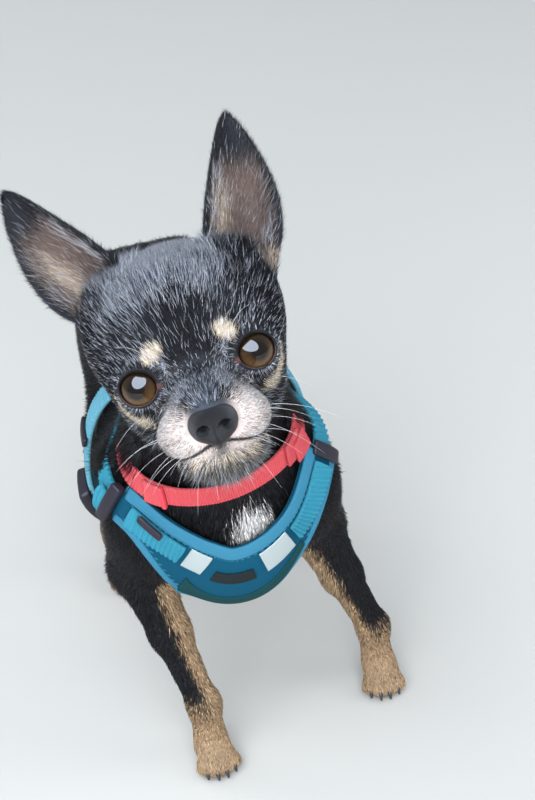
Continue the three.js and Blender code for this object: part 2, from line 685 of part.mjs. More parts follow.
// A steel ring lies flat on the pad at the withers
function makeRing() {
  const RING = { radius: 7.5, wire: 1.2 };
  const at = settle(wearField, vec(0, -33, 205), STRAP_LIFT + PAD.thickness + 2 * GAP + RING.wire);
  const torus = new THREE.TorusGeometry(RING.radius, RING.wire, 6, 20);
  const turn = new THREE.Quaternion().setFromUnitVectors(vec(0, 0, 1), slope(wearField, at));
  return placed(torus, new THREE.Matrix4().compose(at, turn, vec(1, 1, 1)));
}

const padGuide = new THREE.LineCurve3(vec(0, PAD.front, 203), vec(0, PAD.back, 203));
const onNeck = { thickness: WEB.thickness, steps: 12 };
const harnessPieces = () => ({
  chest_plate: makePlate(),
  neck_strap_right: band(loopCurve, 0, PLATE.turn - gapTurn, WEB.width, onNeck),
  neck_strap_left: band(loopCurve, 1 - PLATE.turn + gapTurn, 1, WEB.width, onNeck),
  girth_strap: ring(girthCurve, GIRTH.width, GIRTH.thickness, girthLift),
  sternum_strap: makeSternumStrap(),
  withers_pad: band(padGuide, 0, 1, 2 * PAD.half, { thickness: PAD.thickness, steps: 4, lanes: 4 }),
});
const trimPieces = () => ({
  plate_web_right: band(loopCurve, 0.285, 0.372, WEB.width,
    { thickness: WEB.thickness, steps: 7, lift: onPlate }),
  plate_web_left: band(loopCurve, 0.6, 0.715, WEB.width,
    { thickness: WEB.thickness, steps: 7, lift: onPlate }),
});
const hardPieces = () => ({
  slider_right: band(loopCurve, 0.262, 0.271, 20, { thickness: 5, steps: 2, lift: onPlate }),
  slider_low: strap(wearField, stretch(loopCurve, 0.298, 0.332), {
    steps: 2, lanes: 2, thickness: 2.4, lift: onPlate + WEB.thickness + GAP,
    upper: evenly(6.5), lower: evenly(-2.3),
  }),
  slider_left: band(loopCurve, 0.72, 0.736, 17, { thickness: 2.6, steps: 2, lift: onPlate }),
  girth_buckle: band(girthCurve, GIRTH.buckleFrom, GIRTH.buckleTo, 20, {
    thickness: 6, steps: 5,
    lift: (t) => girthLift(mix(GIRTH.buckleFrom, GIRTH.buckleTo, t)) + GIRTH.thickness + GAP,
  }),
});
const reflectors = () => ({
  reflector_right: sewn(0.38, 0.425, -6, 7, 0.6),
  reflector_left: sewn(0.545, 0.59, -6, 8, 0.6),
});

// Assembly

const finish = (color, roughness, metalness = 0) =>
  new THREE.MeshStandardMaterial({ color, roughness, metalness });
const coat = finish(0x17171b, 0.75);
const tan = finish(0xb98a5e, 0.8);
const leather = finish(0x0f1114, 0.4);
const eyeGlass = finish(0x2a1408, 0.08);
const webbing = finish(0x1d7f9a, 0.8);
const padding = finish(0x166b86, 0.85);
const collarWeb = finish(0xef5566, 0.7);
const plastic = finish(0x34373f, 0.5);
const silver = finish(0xaeb6bc, 0.45);
const steel = finish(0xb8bcc2, 0.3, 1);

const dog = new THREE.Group();
const head = new THREE.Group();
head.applyMatrix4(headMatrix);
dog.add(head);

function put(parent, name, solid, material) {
  const mesh = new THREE.Mesh(toGeometry(solid), material);
  mesh.name = name;
  parent.add(mesh);
}

put(head, 'head', makeHead(), coat);
put(head, 'nose', makeNose(), leather);
for (const [name, ear] of Object.entries(EARS)) put(head, `ear_${name}`, makeEar(ear), coat);
for (const [name, side] of [['left', 1], ['right', -1]]) {
  put(head, `eye_${name}`, ball(EYE_RADIUS, eyeCentre(side), 16, 10), eyeGlass);
}
const neck = makeNeck();
const legs = limbs.map(makeLeg);
put(dog, 'torso', largest(legs.reduce((whole, leg) => whole.add(leg.root), trunk.add(neck.root))), coat);
put(dog, 'neck', neck.rest, coat);
put(dog, 'tail', makeTail(), coat);
limbs.forEach((limb, i) => {
  put(dog, limb.name, legs[i].rest, coat);
  put(dog, limb.name.replace('leg', 'paw'), makePaw(limb), tan);
});
const putAll = (pieces, material) => {
  for (const [name, solid] of Object.entries(pieces)) put(dog, name, solid, material);
};
putAll(collarPieces(), collarWeb);
putAll(harnessPieces(), padding);
putAll(trimPieces(), webbing);
putAll(hardPieces(), plastic);
putAll(reflectors(), silver);
put(dog, 'label', sewn(0.455, 0.53, 1, 8, 0.7), plastic);
put(dog, 'harness_ring', makeRing(), steel);

// The origin is on the floor, under the middle of the whole animal
const middle = new THREE.Box3().setFromObject(dog, true).getCenter(new THREE.Vector3());
dog.position.set(-middle.x, -middle.y, 0);

export default dog;
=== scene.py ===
# %% [markdown]
# # A smooth chihuahua in a collar and a harness
# The dog stands square on its paws and looks up at the viewer. The CAD solids give its true size and
# outline, and this file gives it skin, coat, eyes, nose, claws and cloth. The frame is loaded first, so
# that every piece made below lies in the same place as its solid.

# %% Load the frame
import math

import bmesh
import bpy
import numpy as np
from mathutils import Matrix, Vector
from mathutils.bvhtree import BVHTree


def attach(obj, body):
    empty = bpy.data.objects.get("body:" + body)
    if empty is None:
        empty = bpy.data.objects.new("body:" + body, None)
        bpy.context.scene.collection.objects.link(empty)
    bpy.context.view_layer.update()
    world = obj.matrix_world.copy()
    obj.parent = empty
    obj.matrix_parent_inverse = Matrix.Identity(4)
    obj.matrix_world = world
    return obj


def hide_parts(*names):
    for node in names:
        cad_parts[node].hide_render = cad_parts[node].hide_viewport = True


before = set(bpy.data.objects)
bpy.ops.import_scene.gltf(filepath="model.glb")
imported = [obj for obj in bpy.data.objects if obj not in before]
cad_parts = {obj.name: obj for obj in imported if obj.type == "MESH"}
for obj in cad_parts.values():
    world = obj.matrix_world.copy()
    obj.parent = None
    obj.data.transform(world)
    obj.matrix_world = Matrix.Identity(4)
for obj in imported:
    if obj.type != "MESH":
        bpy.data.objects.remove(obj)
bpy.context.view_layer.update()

scene = bpy.context.scene
MM = 0.001
# The dog is laid out in millimetres in a frame of its own, and this moves it to the row's frame.
SHIFT = np.array([-4.505, 8.847, 0.0])


def in_row(p):
    """Places in the dog's own frame, in millimetres, as places in the row's frame, in metres."""
    return (p + SHIFT) * MM

# %% [markdown]
# ## Camera, floor and light
# The photograph is taken from above and close in front, with the camera a little rolled. A lens of 24
# degrees from top to bottom, 0.79 m from the head, gives the same size of muzzle against skull. The light
# is one large soft panel overhead, with weaker ones in front, at one side and behind. Wet and shiny places
# mirror the sky, which is much brighter than its light on the fur, so a second panel just below it is seen
# only in reflections.

# %% Camera
HEAD_TARGET = Vector((-10.5, -100.15, 251.0)) * MM
CAMERA_DISTANCE = 0.79
CAMERA_AZIMUTH, CAMERA_ELEVATION, CAMERA_ROLL = (math.radians(a) for a in (7, 33.5, -9.5))
VIEW_HEIGHT = math.radians(24)
FRAME_WIDTH, FRAME_HEIGHT = 535, 800
HEAD_PIXEL = (196, 361)

back = Vector((-math.sin(CAMERA_AZIMUTH) * math.cos(CAMERA_ELEVATION),
               -math.cos(CAMERA_AZIMUTH) * math.cos(CAMERA_ELEVATION), math.sin(CAMERA_ELEVATION)))
right = (-back).cross(Vector((0, 0, 1))).normalized()
up = right.cross(-back)
right, up = (right * math.cos(CAMERA_ROLL) + up * math.sin(CAMERA_ROLL),
             up * math.cos(CAMERA_ROLL) - right * math.sin(CAMERA_ROLL))
focal_pixels = FRAME_HEIGHT / 2 / math.tan(VIEW_HEIGHT / 2)
ahead = (-back + right * (FRAME_WIDTH / 2 - HEAD_PIXEL[0]) / focal_pixels
         - up * (FRAME_HEIGHT / 2 - HEAD_PIXEL[1]) / focal_pixels).normalized()
right = ahead.cross(up).normalized()
up = right.cross(ahead)

SENSOR = 36
camera = bpy.data.objects.new("camera", bpy.data.cameras.new("camera"))
scene.collection.objects.link(camera)
camera.data.sensor_width = SENSOR
camera.data.lens = SENSOR / 2 / math.tan(VIEW_HEIGHT / 2)
camera_axes = Matrix((right, up, -ahead)).transposed().to_4x4()
camera.matrix_world = Matrix.Translation(HEAD_TARGET + back * CAMERA_DISTANCE) @ camera_axes
scene.camera = camera
scene.view_settings.view_transform = "Standard"
print("camera at", tuple(round(v, 3) for v in camera.matrix_world.translation))

# %% Shader maths on sockets
class Socket:
    """A shader value that can be multiplied in a Python sum."""

    def __init__(self, graph, link):
        self.graph, self.link = graph, link

    def _math(self, operation, a, b):
        return self.graph.node("ShaderNodeMath", {"operation": operation}, {0: a, 1: b})["Value"]

    def __mul__(self, other):
        return self._math("MULTIPLY", self, other)

    def __rmul__(self, other):
        return self._math("MULTIPLY", other, self)


MIX_FACTOR, MIX_A, MIX_B, MIX_RESULT = 0, 6, 7, 2


class Finish:
    """A material with one principled shader, and one method that adds any other node."""

    def __init__(self, name, **constants):
        self.material = bpy.data.materials.new(name)
        self.material.use_nodes = True
        self.tree = self.material.node_tree
        self.shader = self.tree.nodes["Principled BSDF"]
        for key, value in constants.items():
            self.shader.inputs[key.replace("_", " ")].default_value = value

    def node(self, kind, settings=None, values=None):
        made = self.tree.nodes.new(kind)
        for key, value in (settings or {}).items():
            setattr(made, key, value)
        for key, value in (values or {}).items():
            if isinstance(value, Socket):
                self.tree.links.new(value.link, made.inputs[key])
            else:
                made.inputs[key].default_value = value
        return {output.name: Socket(self, output) for output in made.outputs}

    def mix(self, factor, a, b):
        self.node("ShaderNodeMix", {"data_type": "RGBA"}, {MIX_FACTOR: factor, MIX_A: a, MIX_B: b})
        return Socket(self, self.tree.nodes[-1].outputs[MIX_RESULT])

    def painted(self, layer):
        """The colour that is written on the mesh under a name."""
        return self.node("ShaderNodeVertexColor", {"layer_name": layer})["Color"]

    def feed(self, **links):
        for key, value in links.items():
            self.tree.links.new(value.link, self.shader.inputs[key.replace("_", " ")])

    def bump(self, height, distance, strength=1.0):
        values = {"Height": height, "Distance": distance, "Strength": strength}
        self.feed(Normal=self.node("ShaderNodeBump", {}, values)["Normal"])


# %% Floor and light
FLOOR_HALF = 6
floor_mesh = bmesh.new()
bmesh.ops.create_grid(floor_mesh, x_segments=1, y_segments=1, size=FLOOR_HALF)
floor = bpy.data.objects.new("floor", bpy.data.meshes.new("floor"))
floor_mesh.to_mesh(floor.data)
floor_mesh.free()
scene.collection.objects.link(floor)
pale = Finish("pale floor", Roughness=0.9)
speckle = pale.node("ShaderNodeTexNoise", {}, {"Scale": 3.0})["Fac"]
pale.feed(Base_Color=pale.mix(speckle, (0.50, 0.51, 0.50, 1), (0.53, 0.53, 0.52, 1)))
floor.data.materials.append(pale.material)


def soft_panel(name, place, aim, size, watts, colour=(1, 1, 1), glossy=False, diffuse=True):
    lamp = bpy.data.lights.new(name, "AREA")
    lamp.shape, lamp.size, lamp.size_y = "RECTANGLE" if diffuse else "ELLIPSE", size[0], size[1]
    lamp.energy, lamp.color = watts, colour
    panel = bpy.data.objects.new(name, lamp)
    facing = (Vector(aim) - Vector(place)).to_track_quat("-Z", "Y").to_matrix().to_4x4()
    panel.matrix_world = Matrix.Translation(place) @ facing
    panel.visible_glossy, panel.visible_diffuse = glossy, diffuse
    scene.collection.objects.link(panel)


SKY_AIM, SKY_SIZE, BODY_AIM = (0, -0.05, 0.2), (2.3, 1.8), (0, 0, 0.2)
soft_panel("sky panel", (-0.35, -0.75, 1.5), SKY_AIM, SKY_SIZE, 40, (0.95, 0.98, 1.0))
soft_panel("sky in wet places", (-0.34, -0.73, 1.46), SKY_AIM, SKY_SIZE, 150, (0.7, 0.82, 1.0),
           glossy=True, diffuse=False)
soft_panel("side panel", (1.5, -0.5, 0.9), BODY_AIM, (0.8, 1.2), 9)
soft_panel("back panel", (-0.9, 1.4, 1.2), BODY_AIM, (1.2, 0.9), 12)
soft_panel("front panel", (-0.35, -1.5, 0.55), (0, -0.1, 0.2), (1.2, 0.9), 21, (1.0, 0.97, 0.95))
world = bpy.data.worlds.new("room")
world.use_nodes = True
room_light = world.node_tree.nodes["Background"].inputs
room_light["Color"].default_value = (0.86, 0.93, 1.0, 1)
room_light["Strength"].default_value = 0.42
scene.world = world

# %% [markdown]
# ## The form of the body
# A skin that lies a coat's depth inside the solids could be sculpted by hand or grown from their facets,
# but facets show through. Here the same rounded masses that shape the dog are written once more as fields:
# each gives the distance from a point to an ellipsoid or a tapered bone, and a soft minimum joins them the
# way muscle joins bone.

# %% Fields of distance, in millimetres
def turned(x=0.0, y=0.0, z=0.0, order="XYZ"):
    result = np.eye(3)
    for axis in order:
        angle = {"X": x, "Y": y, "Z": z}[axis]
        i, j = {"X": (1, 2), "Y": (2, 0), "Z": (0, 1)}[axis]
        step = np.eye(3)
        step[i, i] = step[j, j] = np.cos(angle)
        step[i, j], step[j, i] = -np.sin(angle), np.sin(angle)
        result = result @ step
    return result


def ellipsoid(centre, radii, turn=np.eye(3)):
    centre, radii = np.array(centre, float), np.array(radii, float)

    def field(p):
        local = (p - centre) @ turn
        scaled = np.linalg.norm(local / radii, axis=1)
        steep = np.linalg.norm(local / radii**2, axis=1)
        return scaled * (scaled - 1) / np.maximum(steep, 1e-9)

    return field


def taper(start, start_radius, end, end_radius):
    start, axis = np.array(start, float), np.subtract(end, start).astype(float)

    def field(p):
        along = np.clip((p - start) @ axis / (axis @ axis), 0, 1)
        radius = start_radius + (end_radius - start_radius) * along
        return np.linalg.norm(p - start - along[:, None] * axis, axis=1) - radius

    return field


def soft_min(softness, a, b):
    mixed = np.maximum(softness - np.abs(a - b), 0) / softness
    return np.minimum(a, b) - mixed * mixed * softness / 4


def soft_max(softness, a, b):
    return -soft_min(softness, -a, -b)


def join(softness, *fields):
    def field(p):
        nearest = fields[0](p)
        for other in fields[1:]:
            nearest = soft_min(softness, nearest, other(p))
        return nearest

    return field


def both(make):
    return [make(1), make(-1)]


PROBE = 0.2
PROBE_CORNERS = np.array([[1, -1, -1], [-1, -1, 1], [-1, 1, -1], [1, 1, 1]])


def slope(field, p):
    """The direction in which a field grows fastest, from four probes round each place."""
    total = sum(corner * field(p + PROBE * corner)[:, None] for corner in PROBE_CORNERS)
    return total / np.maximum(np.linalg.norm(total, axis=1, keepdims=True), 1e-9)


def settle(field, p, level=0.0, passes=5):
    """Moves points along the field's slope to the surface at a level."""
    p = p.copy()
    for _ in range(passes):
        p += slope(field, p) * (level - field(p))[:, None]
    return p


def ramp(value, low, high):
    t = np.clip((value - low) / (high - low), 0, 1)
    return t * t * (3 - 2 * t)


def unit(v):
    return v / np.maximum(np.linalg.norm(v, axis=-1, keepdims=True), 1e-9)


# %% Trunk, neck, limbs and tail
WITHERS, RUMP, BRISKET, CHEST_FRONT, RUMP_BACK = 199, 199, 100, -111, 116
CHEST_HALF, SHOULDER_HALF, LOIN_HALF, HIP_HALF, NECK_RADIUS = 52, 57, 39, 41, 33
chest_middle = (WITHERS + BRISKET) / 2
trunk_field = join(
    16,
    ellipsoid((0, -42, chest_middle), (CHEST_HALF - 4, 58, (WITHERS - BRISKET) / 2)),
    ellipsoid((0, -74, chest_middle - 3), (34, -CHEST_FRONT - 74, 46)),
    *both(lambda side: ellipsoid((side * (CHEST_HALF - 24), -14, 148), (22, 34, 34))),
    ellipsoid((0, 22, 154), (LOIN_HALF - 2, 58, 36)),
    ellipsoid((0, 78, 162), (HIP_HALF - 5, RUMP_BACK - 80, RUMP - 165)),
    taper((0, -52, WITHERS - 19), 18, (0, 82, RUMP - 23), 18),
    *both(lambda side: taper((side * 20, 60, RUMP - 17), 15, (side * 21, 86, RUMP - 19), 15)),
    *both(lambda side: ellipsoid((side * (SHOULDER_HALF - 19), -68, 146), (18, 27, 38), turned(x=0.25))),
    *both(lambda side: ellipsoid((side * (HIP_HALF - 13), 76, 146), (15, 31, 30), turned(x=-0.2))),
)
neck_base, neck_top = np.array([0, -68, 166.0]), np.array([-5, -98, 236.0])
neck_field = taper(neck_base, NECK_RADIUS + 7, neck_top, NECK_RADIUS - 3)
core_field = join(16, trunk_field, neck_field)

PAWS = {
    "foreleg_left": (1, (68, -64, 0), 0.16),
    "foreleg_right": (-1, (-27, -88, 0), 0.05),
    "hindleg_left": (1, (42, 70, 0), 0.1),
    "hindleg_right": (-1, (-44, 68, 0), 0.1),
}
PAW_HALF, TOE_RADIUS, TOE_REACH, OUTER_TOE_BACK = 9.5, 5.2, 11.5, 5
TOES = [(across, OUTER_TOE_BACK * across**2 - TOE_REACH) for across in (-0.75, -0.25, 0.25, 0.75)]


def leg_joints(name):
    side, (x, y, _), _ = PAWS[name]
    if name.startswith("fore"):
        wrist = (side * 43 + (x - side * 43) * 0.45, -60 + (y + 66) * 0.45, 74)
        return [((side * 37, -72, 150), 19), ((side * 43, -60, 112), 15.5), (wrist, 10.5),
                ((x, y + 8, 32), 8), ((x, y + 6, 14), 8.5)]
    hock = (side * 36 + (x - side * 36) * 0.6, 84, 80)
    return [((side * 20, 78, 150), 20), ((side * 34, 54, 112), 15.5), (hock, 10),
            ((x, y + 24, 56), 7.8), ((x, y + 12, 26), 7.2), ((x, y + 8, 14), 8.5)]


def in_paw(name, x, y, z):
    side, paw, toe_in = PAWS[name]
    return turned(z=-side * toe_in) @ np.array([x, y, z]) + paw


def limb_field(name):
    chain = leg_joints(name)
    bones = [taper(a, ra, b, rb) for (a, ra), (b, rb) in zip(chain, chain[1:])]
    toes = [taper(in_paw(name, across * 6.3, -2, 7.5), TOE_RADIUS - 0.3,
                  in_paw(name, across * 9.6, tip, 4.8), TOE_RADIUS - 0.5) for across, tip in TOES]
    paw = join(1.6, ellipsoid(in_paw(name, 0, 3, 6.5), (PAW_HALF, 11, 8)), *toes)
    return join(5, join(7, *bones), paw)


def curve_points(knots, count):
    """Points evenly spread on a smooth curve through the knots."""
    knots = np.array(knots, float)
    n = len(knots)
    grid = np.linspace(0, n - 1, 40 * n + 1)
    index = np.minimum(grid.astype(int), n - 2)
    t = (grid - index)[:, None]
    a, b, c, d = (knots[np.clip(index + k, 0, n - 1)] for k in (-1, 0, 1, 2))
    line = 0.5 * (2 * b + (c - a) * t + (2 * a - 5 * b + 4 * c - d) * t**2 + (3 * b - a - 3 * c + d) * t**3)
    travel = np.r_[0, np.cumsum(np.linalg.norm(np.diff(line, axis=0), axis=1))]
    wanted = np.linspace(0, travel[-1], count)
    return np.stack([np.interp(wanted, travel, line[:, i]) for i in range(3)], 1)


TAIL_STEPS, TAIL_ROOT, TAIL_TIP = 9, 9, 4.5
tail_line = curve_points(
    [(0, 102, 180), (2, 120, 172), (5, 134, 150), (9, 140, 122), (13, 146, 98), (16, 156, 82)], TAIL_STEPS)
tail_radii = np.linspace(TAIL_ROOT, TAIL_TIP, TAIL_STEPS)
tail_field = join(0.4, *[taper(tail_line[i], tail_radii[i], tail_line[i + 1], tail_radii[i + 1])
                         for i in range(TAIL_STEPS - 1)])
wear_field = join(7, core_field, *[limb_field(name) for name in PAWS])
body_field = join(7, wear_field, tail_field)
print("tail", round(np.linalg.norm(np.diff(tail_line, axis=0), axis=1).sum()), "mm long")

# %% [markdown]
# ## The form of the head
# A chihuahua's head is an apple-shaped skull with a sharp stop, round eyes set wide and a short muzzle.
# The lids are a thin shell over each eyeball, opened by a cone along the gaze, and the lips meet in a
# groove. Written as a field, the lids and lips keep soft, rounded rims, which a Boolean cut would leave
# sharp.

# %% Head
HEAD_AT = np.array([-6, -109, 251.0])
HEAD_TURN = turned(*np.radians([-26, -8.6, -7]), order="ZXY")
EYE_RADIUS, EYE_SPREAD, EYE_DEPTH, EYE_TURN = 9.8, 23.3, -21.5, math.radians(17)
NOSE_TIP, NOSE_HEIGHT, NOSE_HALF = -67, -17.5, 9.4
FACE_COAT = 0.7

skull_field = join(
    11,
    join(
        11,
        ellipsoid((0, 8, 13), (43, 40, 37)),
        ellipsoid((0, -14, 21), (30, 20, 23)),
        *both(lambda side: ellipsoid((side * 19, 1, -6), (14.5, 26, 19), turned(z=side * 0.25))),
        ellipsoid((0, 4, -18), (28, 30, 20)),
        *both(lambda side: ellipsoid((side * 30, 9, 26), (9, 13, 14))),
    ),
    join(
        6,
        taper((0, -22, -15), 20, (0, -46, -16.5), 15.5),
        ellipsoid((0, -44, -8.5), (11.5, 21, 9)),
        *both(lambda side: ellipsoid((side * 10, -45, -20), (13.5, 16, 11.5), turned(z=side * 0.3))),
    ),
    *both(lambda side: ellipsoid((side * 16, -26, 12), (11, 8, 6))),
    *both(lambda side: ellipsoid((side * 23.5, -12, -1), (8.5, 10, 10))),
)
jaw_field = join(6, taper((0, -14, -28), 20, (0, -38, -31), 12), ellipsoid((0, -41, -32.5), (19, 16, 7.5)))
head_field = join(2.5, skull_field, jaw_field)


def to_head(p):
    return (p - HEAD_AT) @ HEAD_TURN


def from_head(p):
    return p @ HEAD_TURN.T + HEAD_AT


LIP_SIDE = [(13, -54, -29.5), (20, -40, -28), (21, -27, -25)]
LIP_KNOTS = [(-x, y, z) for x, y, z in LIP_SIDE[::-1]] + [(0, -61, -27.5)] + LIP_SIDE
mouth_line = settle(head_field, curve_points(LIP_KNOTS, 60))
philtrum_line = settle(head_field, curve_points([(0, -64, -23.5), (0, -61, -28)], 8))
MOUTH_GROOVE, PHILTRUM_GROOVE = 0.75, 0.5


def line_distance(p, line):
    nearest = np.full(len(p), 1e9)
    close = np.linalg.norm(p - line.mean(0), axis=1) < np.ptp(line, axis=0).max() + 8
    for point in line:
        nearest[close] = np.minimum(nearest[close], np.linalg.norm(p[close] - point, axis=1))
    return nearest


def eye_frame(h, side):
    """Places in an eye's own frame, whose gaze runs along -Y."""
    return (h - [side * EYE_SPREAD, EYE_DEPTH, 0]) @ turned(z=side * EYE_TURN)


def eye_front(side):
    """Where the opened lids stand, in the head's frame."""
    return np.array([side * 25.5, -28, 0.0])


LID_HALF_WIDTH, LID_RISE, LID_DROP = 9.65, 8.1, 7.7
LID_THICKNESS, LID_CREASES = 1.15, ((1.42, 0.1, 0.35), (1.75, 0.12, 0.2))


def lid_span(e):
    """How far out from the middle of the opening a place on the lids is: 1 is the rim."""
    cone = 0.75 + 0.5 * np.clip((-e[:, 1] - EYE_RADIUS / 2) / 12, 0, 1)
    lift = np.where(e[:, 2] > 0, LID_RISE, LID_DROP)
    return np.sqrt((e[:, 0] / LID_HALF_WIDTH) ** 2 + (e[:, 2] / lift) ** 2) / cone


def face_field(h):
    value = head_field(h) + FACE_COAT
    for side in (1, -1):
        e = eye_frame(h, side)
        globe = np.linalg.norm(e, axis=1)
        span = lid_span(e)
        front = ramp(-e[:, 1], 0, 4)
        value = soft_min(2.2, value, globe - EYE_RADIUS - LID_THICKNESS)
        crease = sum(np.exp(-(((span - at) / width) ** 2)) * depth for at, width, depth in LID_CREASES)
        value = value + crease * front
        value = soft_max(0.4, value, EYE_RADIUS + 0.08 - globe)
        value = soft_max(0.7, value, np.where(e[:, 1] < -1, (1 - span) * 7.2, -5))
    value = soft_max(0.6, value, MOUTH_GROOVE - line_distance(h, mouth_line))
    return soft_max(0.5, value, PHILTRUM_GROOVE - line_distance(h, philtrum_line))


print("head", len(mouth_line), "points on the mouth line")

# %% Mesh helpers
def new_object(name, mesh, finish, *replaced, slot=None):
    piece = bpy.data.objects.new(name, mesh)
    scene.collection.objects.link(piece)
    if finish:
        mesh.materials.append(finish.material)
        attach(piece, "root")
        if replaced:
            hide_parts(*replaced)
    return piece


def coordinates(mesh, what="co"):
    flat = np.empty(len(mesh.vertices) * 3, np.float32)
    mesh.vertices.foreach_get(what, flat)
    return flat.reshape(-1, 3).astype(float)


def move_vertices(mesh, places):
    mesh.vertices.foreach_set("co", np.ascontiguousarray(places, np.float32).ravel())
    mesh.update()


def places_of(form):
    return np.array([vertex.co for vertex in form.verts])


def put(form, places):
    for vertex, place in zip(form.verts, places):
        vertex.co = place


def to_mesh(form, name):
    mesh = bpy.data.meshes.new(name)
    form.to_mesh(mesh)
    form.free()
    return mesh


def split_large_faces(form):
    bmesh.ops.triangulate(form, faces=[face for face in form.faces if len(face.verts) > 4])


def smooth(form, verts):
    bmesh.ops.smooth_vert(form, verts=verts, factor=0.5, use_axis_x=True, use_axis_y=True, use_axis_z=True)


def applied(piece):
    """A new mesh of a piece with its modifiers applied."""
    return bpy.data.meshes.new_from_object(piece.evaluated_get(bpy.context.evaluated_depsgraph_get()))


def remeshed(name, nodes, voxel, swell):
    """One closed mesh around copies of some CAD nodes, in the dog's own frame."""
    merged = bmesh.new()
    for node in nodes:
        merged.from_mesh(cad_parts[node].data)
    bmesh.ops.remove_doubles(merged, verts=merged.verts, dist=1e-6)
    merged.normal_update()
    for vertex in merged.verts:
        vertex.co += vertex.normal * swell * MM
    source = bpy.data.objects.new(name, to_mesh(merged, name))
    scene.collection.objects.link(source)
    modifier = source.modifiers.new("voxels", "REMESH")
    modifier.mode, modifier.voxel_size = "VOXEL", voxel * MM
    result = applied(source)
    bpy.data.objects.remove(source)
    move_vertices(result, coordinates(result) / MM - SHIFT)
    return result

# %% [markdown]
# ## Skin
# One skin covers head, neck, trunk, limbs, paws and tail. Copies of the CAD nodes are remeshed twice,
# finely for the head and coarsely for the rest, cut on one plane through the neck and bridged there, so
# that no seam is left. Then every vertex is moved onto the fields, a coat's depth inside the solids, and
# the face is divided once more.

# %% Remesh, cut at the neck and bridge
HEAD_VOXEL, BODY_VOXEL = ((1.08, 2.5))
SWELL, BRIDGE_HALF = 0.3, 0.5
BODY_COAT, PAW_COAT, FLOOR_CLEAR = 1.5, 0.6, 0.1
FLESH = [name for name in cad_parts
         if name in ("head", "neck", "torso", "tail") or "leg_" in name or "paw_" in name]
neck_plane = Vector(neck_base + (neck_top - neck_base) * 0.35)
neck_axis = Vector(unit(neck_top - neck_base))


def cut_half(voxel, keep_above):
    half = bmesh.new()
    half.from_mesh(remeshed("skin half", FLESH, voxel, SWELL))
    cut = neck_plane + neck_axis * (BRIDGE_HALF if keep_above else -BRIDGE_HALF)
    bmesh.ops.bisect_plane(half, geom=half.verts[:] + half.edges[:] + half.faces[:], plane_co=cut,
                           plane_no=neck_axis, clear_inner=keep_above, clear_outer=not keep_above)
    return to_mesh(half, "skin half")


skin_form = bmesh.new()
skin_form.from_mesh(cut_half(HEAD_VOXEL, True))
skin_form.from_mesh(cut_half(BODY_VOXEL, False))
rims = [edge for edge in skin_form.edges if edge.is_boundary]
bmesh.ops.bridge_loops(skin_form, edges=rims)
print("skin", len(skin_form.verts), "vertices,", sum(edge.is_boundary for edge in skin_form.edges),
      "open edges")


# %% Settle the skin on the fields
def head_share(p):
    """1 on the head, 0 on the body, with a soft change round the top of the neck."""
    return ramp(body_field(p) - head_field(to_head(p)), -6, 6)


def flesh_field(p):
    value = np.full(len(p), 1e3)
    h = to_head(p)
    on_head = np.linalg.norm(h - [0, -8, 0], axis=1) < 92
    on_body = p[:, 2] < 247
    value[on_head] = face_field(h[on_head])
    coat = PAW_COAT + (BODY_COAT - PAW_COAT) * ramp(p[on_body, 2], 8, 60)
    value[on_body] = soft_min(9, value[on_body], body_field(p[on_body]) + coat)
    return value


def shape(form, passes):
    places = settle(flesh_field, places_of(form), 0, passes)
    places[:, 2] = np.maximum(places[:, 2], FLOOR_CLEAR)
    put(form, places)


def fine_edges(form):
    """The edges round the eyes and along the lips, which are divided once more."""
    centres = to_head(np.array([face.calc_center_median() for face in form.faces]))
    near_eye = np.minimum(*[np.linalg.norm(centres - eye_front(side), axis=1) for side in (1, -1)]) < 13
    near_lips = (line_distance(centres, mouth_line) < 4) | (line_distance(centres, philtrum_line) < 3)
    fine = []
    for face, take in zip(form.faces, near_eye | near_lips):
        if take:
            fine.extend(face.edges)
    return list(set(fine))


shape(skin_form, 3)
bmesh.ops.subdivide_edges(skin_form, edges=fine_edges(skin_form), cuts=1, use_grid_fill=True)
shape(skin_form, 2)
split_large_faces(skin_form)
bmesh.ops.recalc_face_normals(skin_form, faces=skin_form.faces)
print("skin", len(skin_form.verts), "vertices after the face was divided")

# %% [markdown]
# ## Ears
# Each ear is a leaf of skin rolled into a cup, thin at its rim. A grid is rolled into that closed form, so
# that rows run from the root to the tip, and a Boolean union then grows it out of the skull. The crease
# that a union leaves is smoothed afterwards.

# %% Roll and join the ears
EAR_LENGTH, EAR_HALF, EAR_THICKNESS, EAR_COAT, EAR_SWAY = 64, 18, 2.4, 0.3, 3
EARS = {"ear_left": (1, (32, 7, 33), 0.2), "ear_right": (-1, (-29, 7, 35), 0.45)}
EAR_FRINGE = {"ear_left": -8, "ear_right": 6}
EAR_HALVES = ((-0.2, 0.78), (0, 0.88), (0.2, 1), (0.42, 0.93), (0.62, 0.74), (0.8, 0.5), (0.93, 0.27),
              (1, 0.07))
ear_outline = curve_points([(height, share, 0) for height, share in EAR_HALVES], 60)


def ear_matrix(name):
    side, root, lean = EARS[name]
    return turned(x=-0.3, y=side * lean, z=side * 0.3, order="YXZ"), np.array(root, float)


def in_ear(h, name):
    """Places in an ear's own frame, which rises along Z and opens along -Y."""
    turn, root = ear_matrix(name)
    return (h - root) @ turn


def half_width(height):
    return EAR_HALF * np.interp(height, ear_outline[:, 0], ear_outline[:, 1])


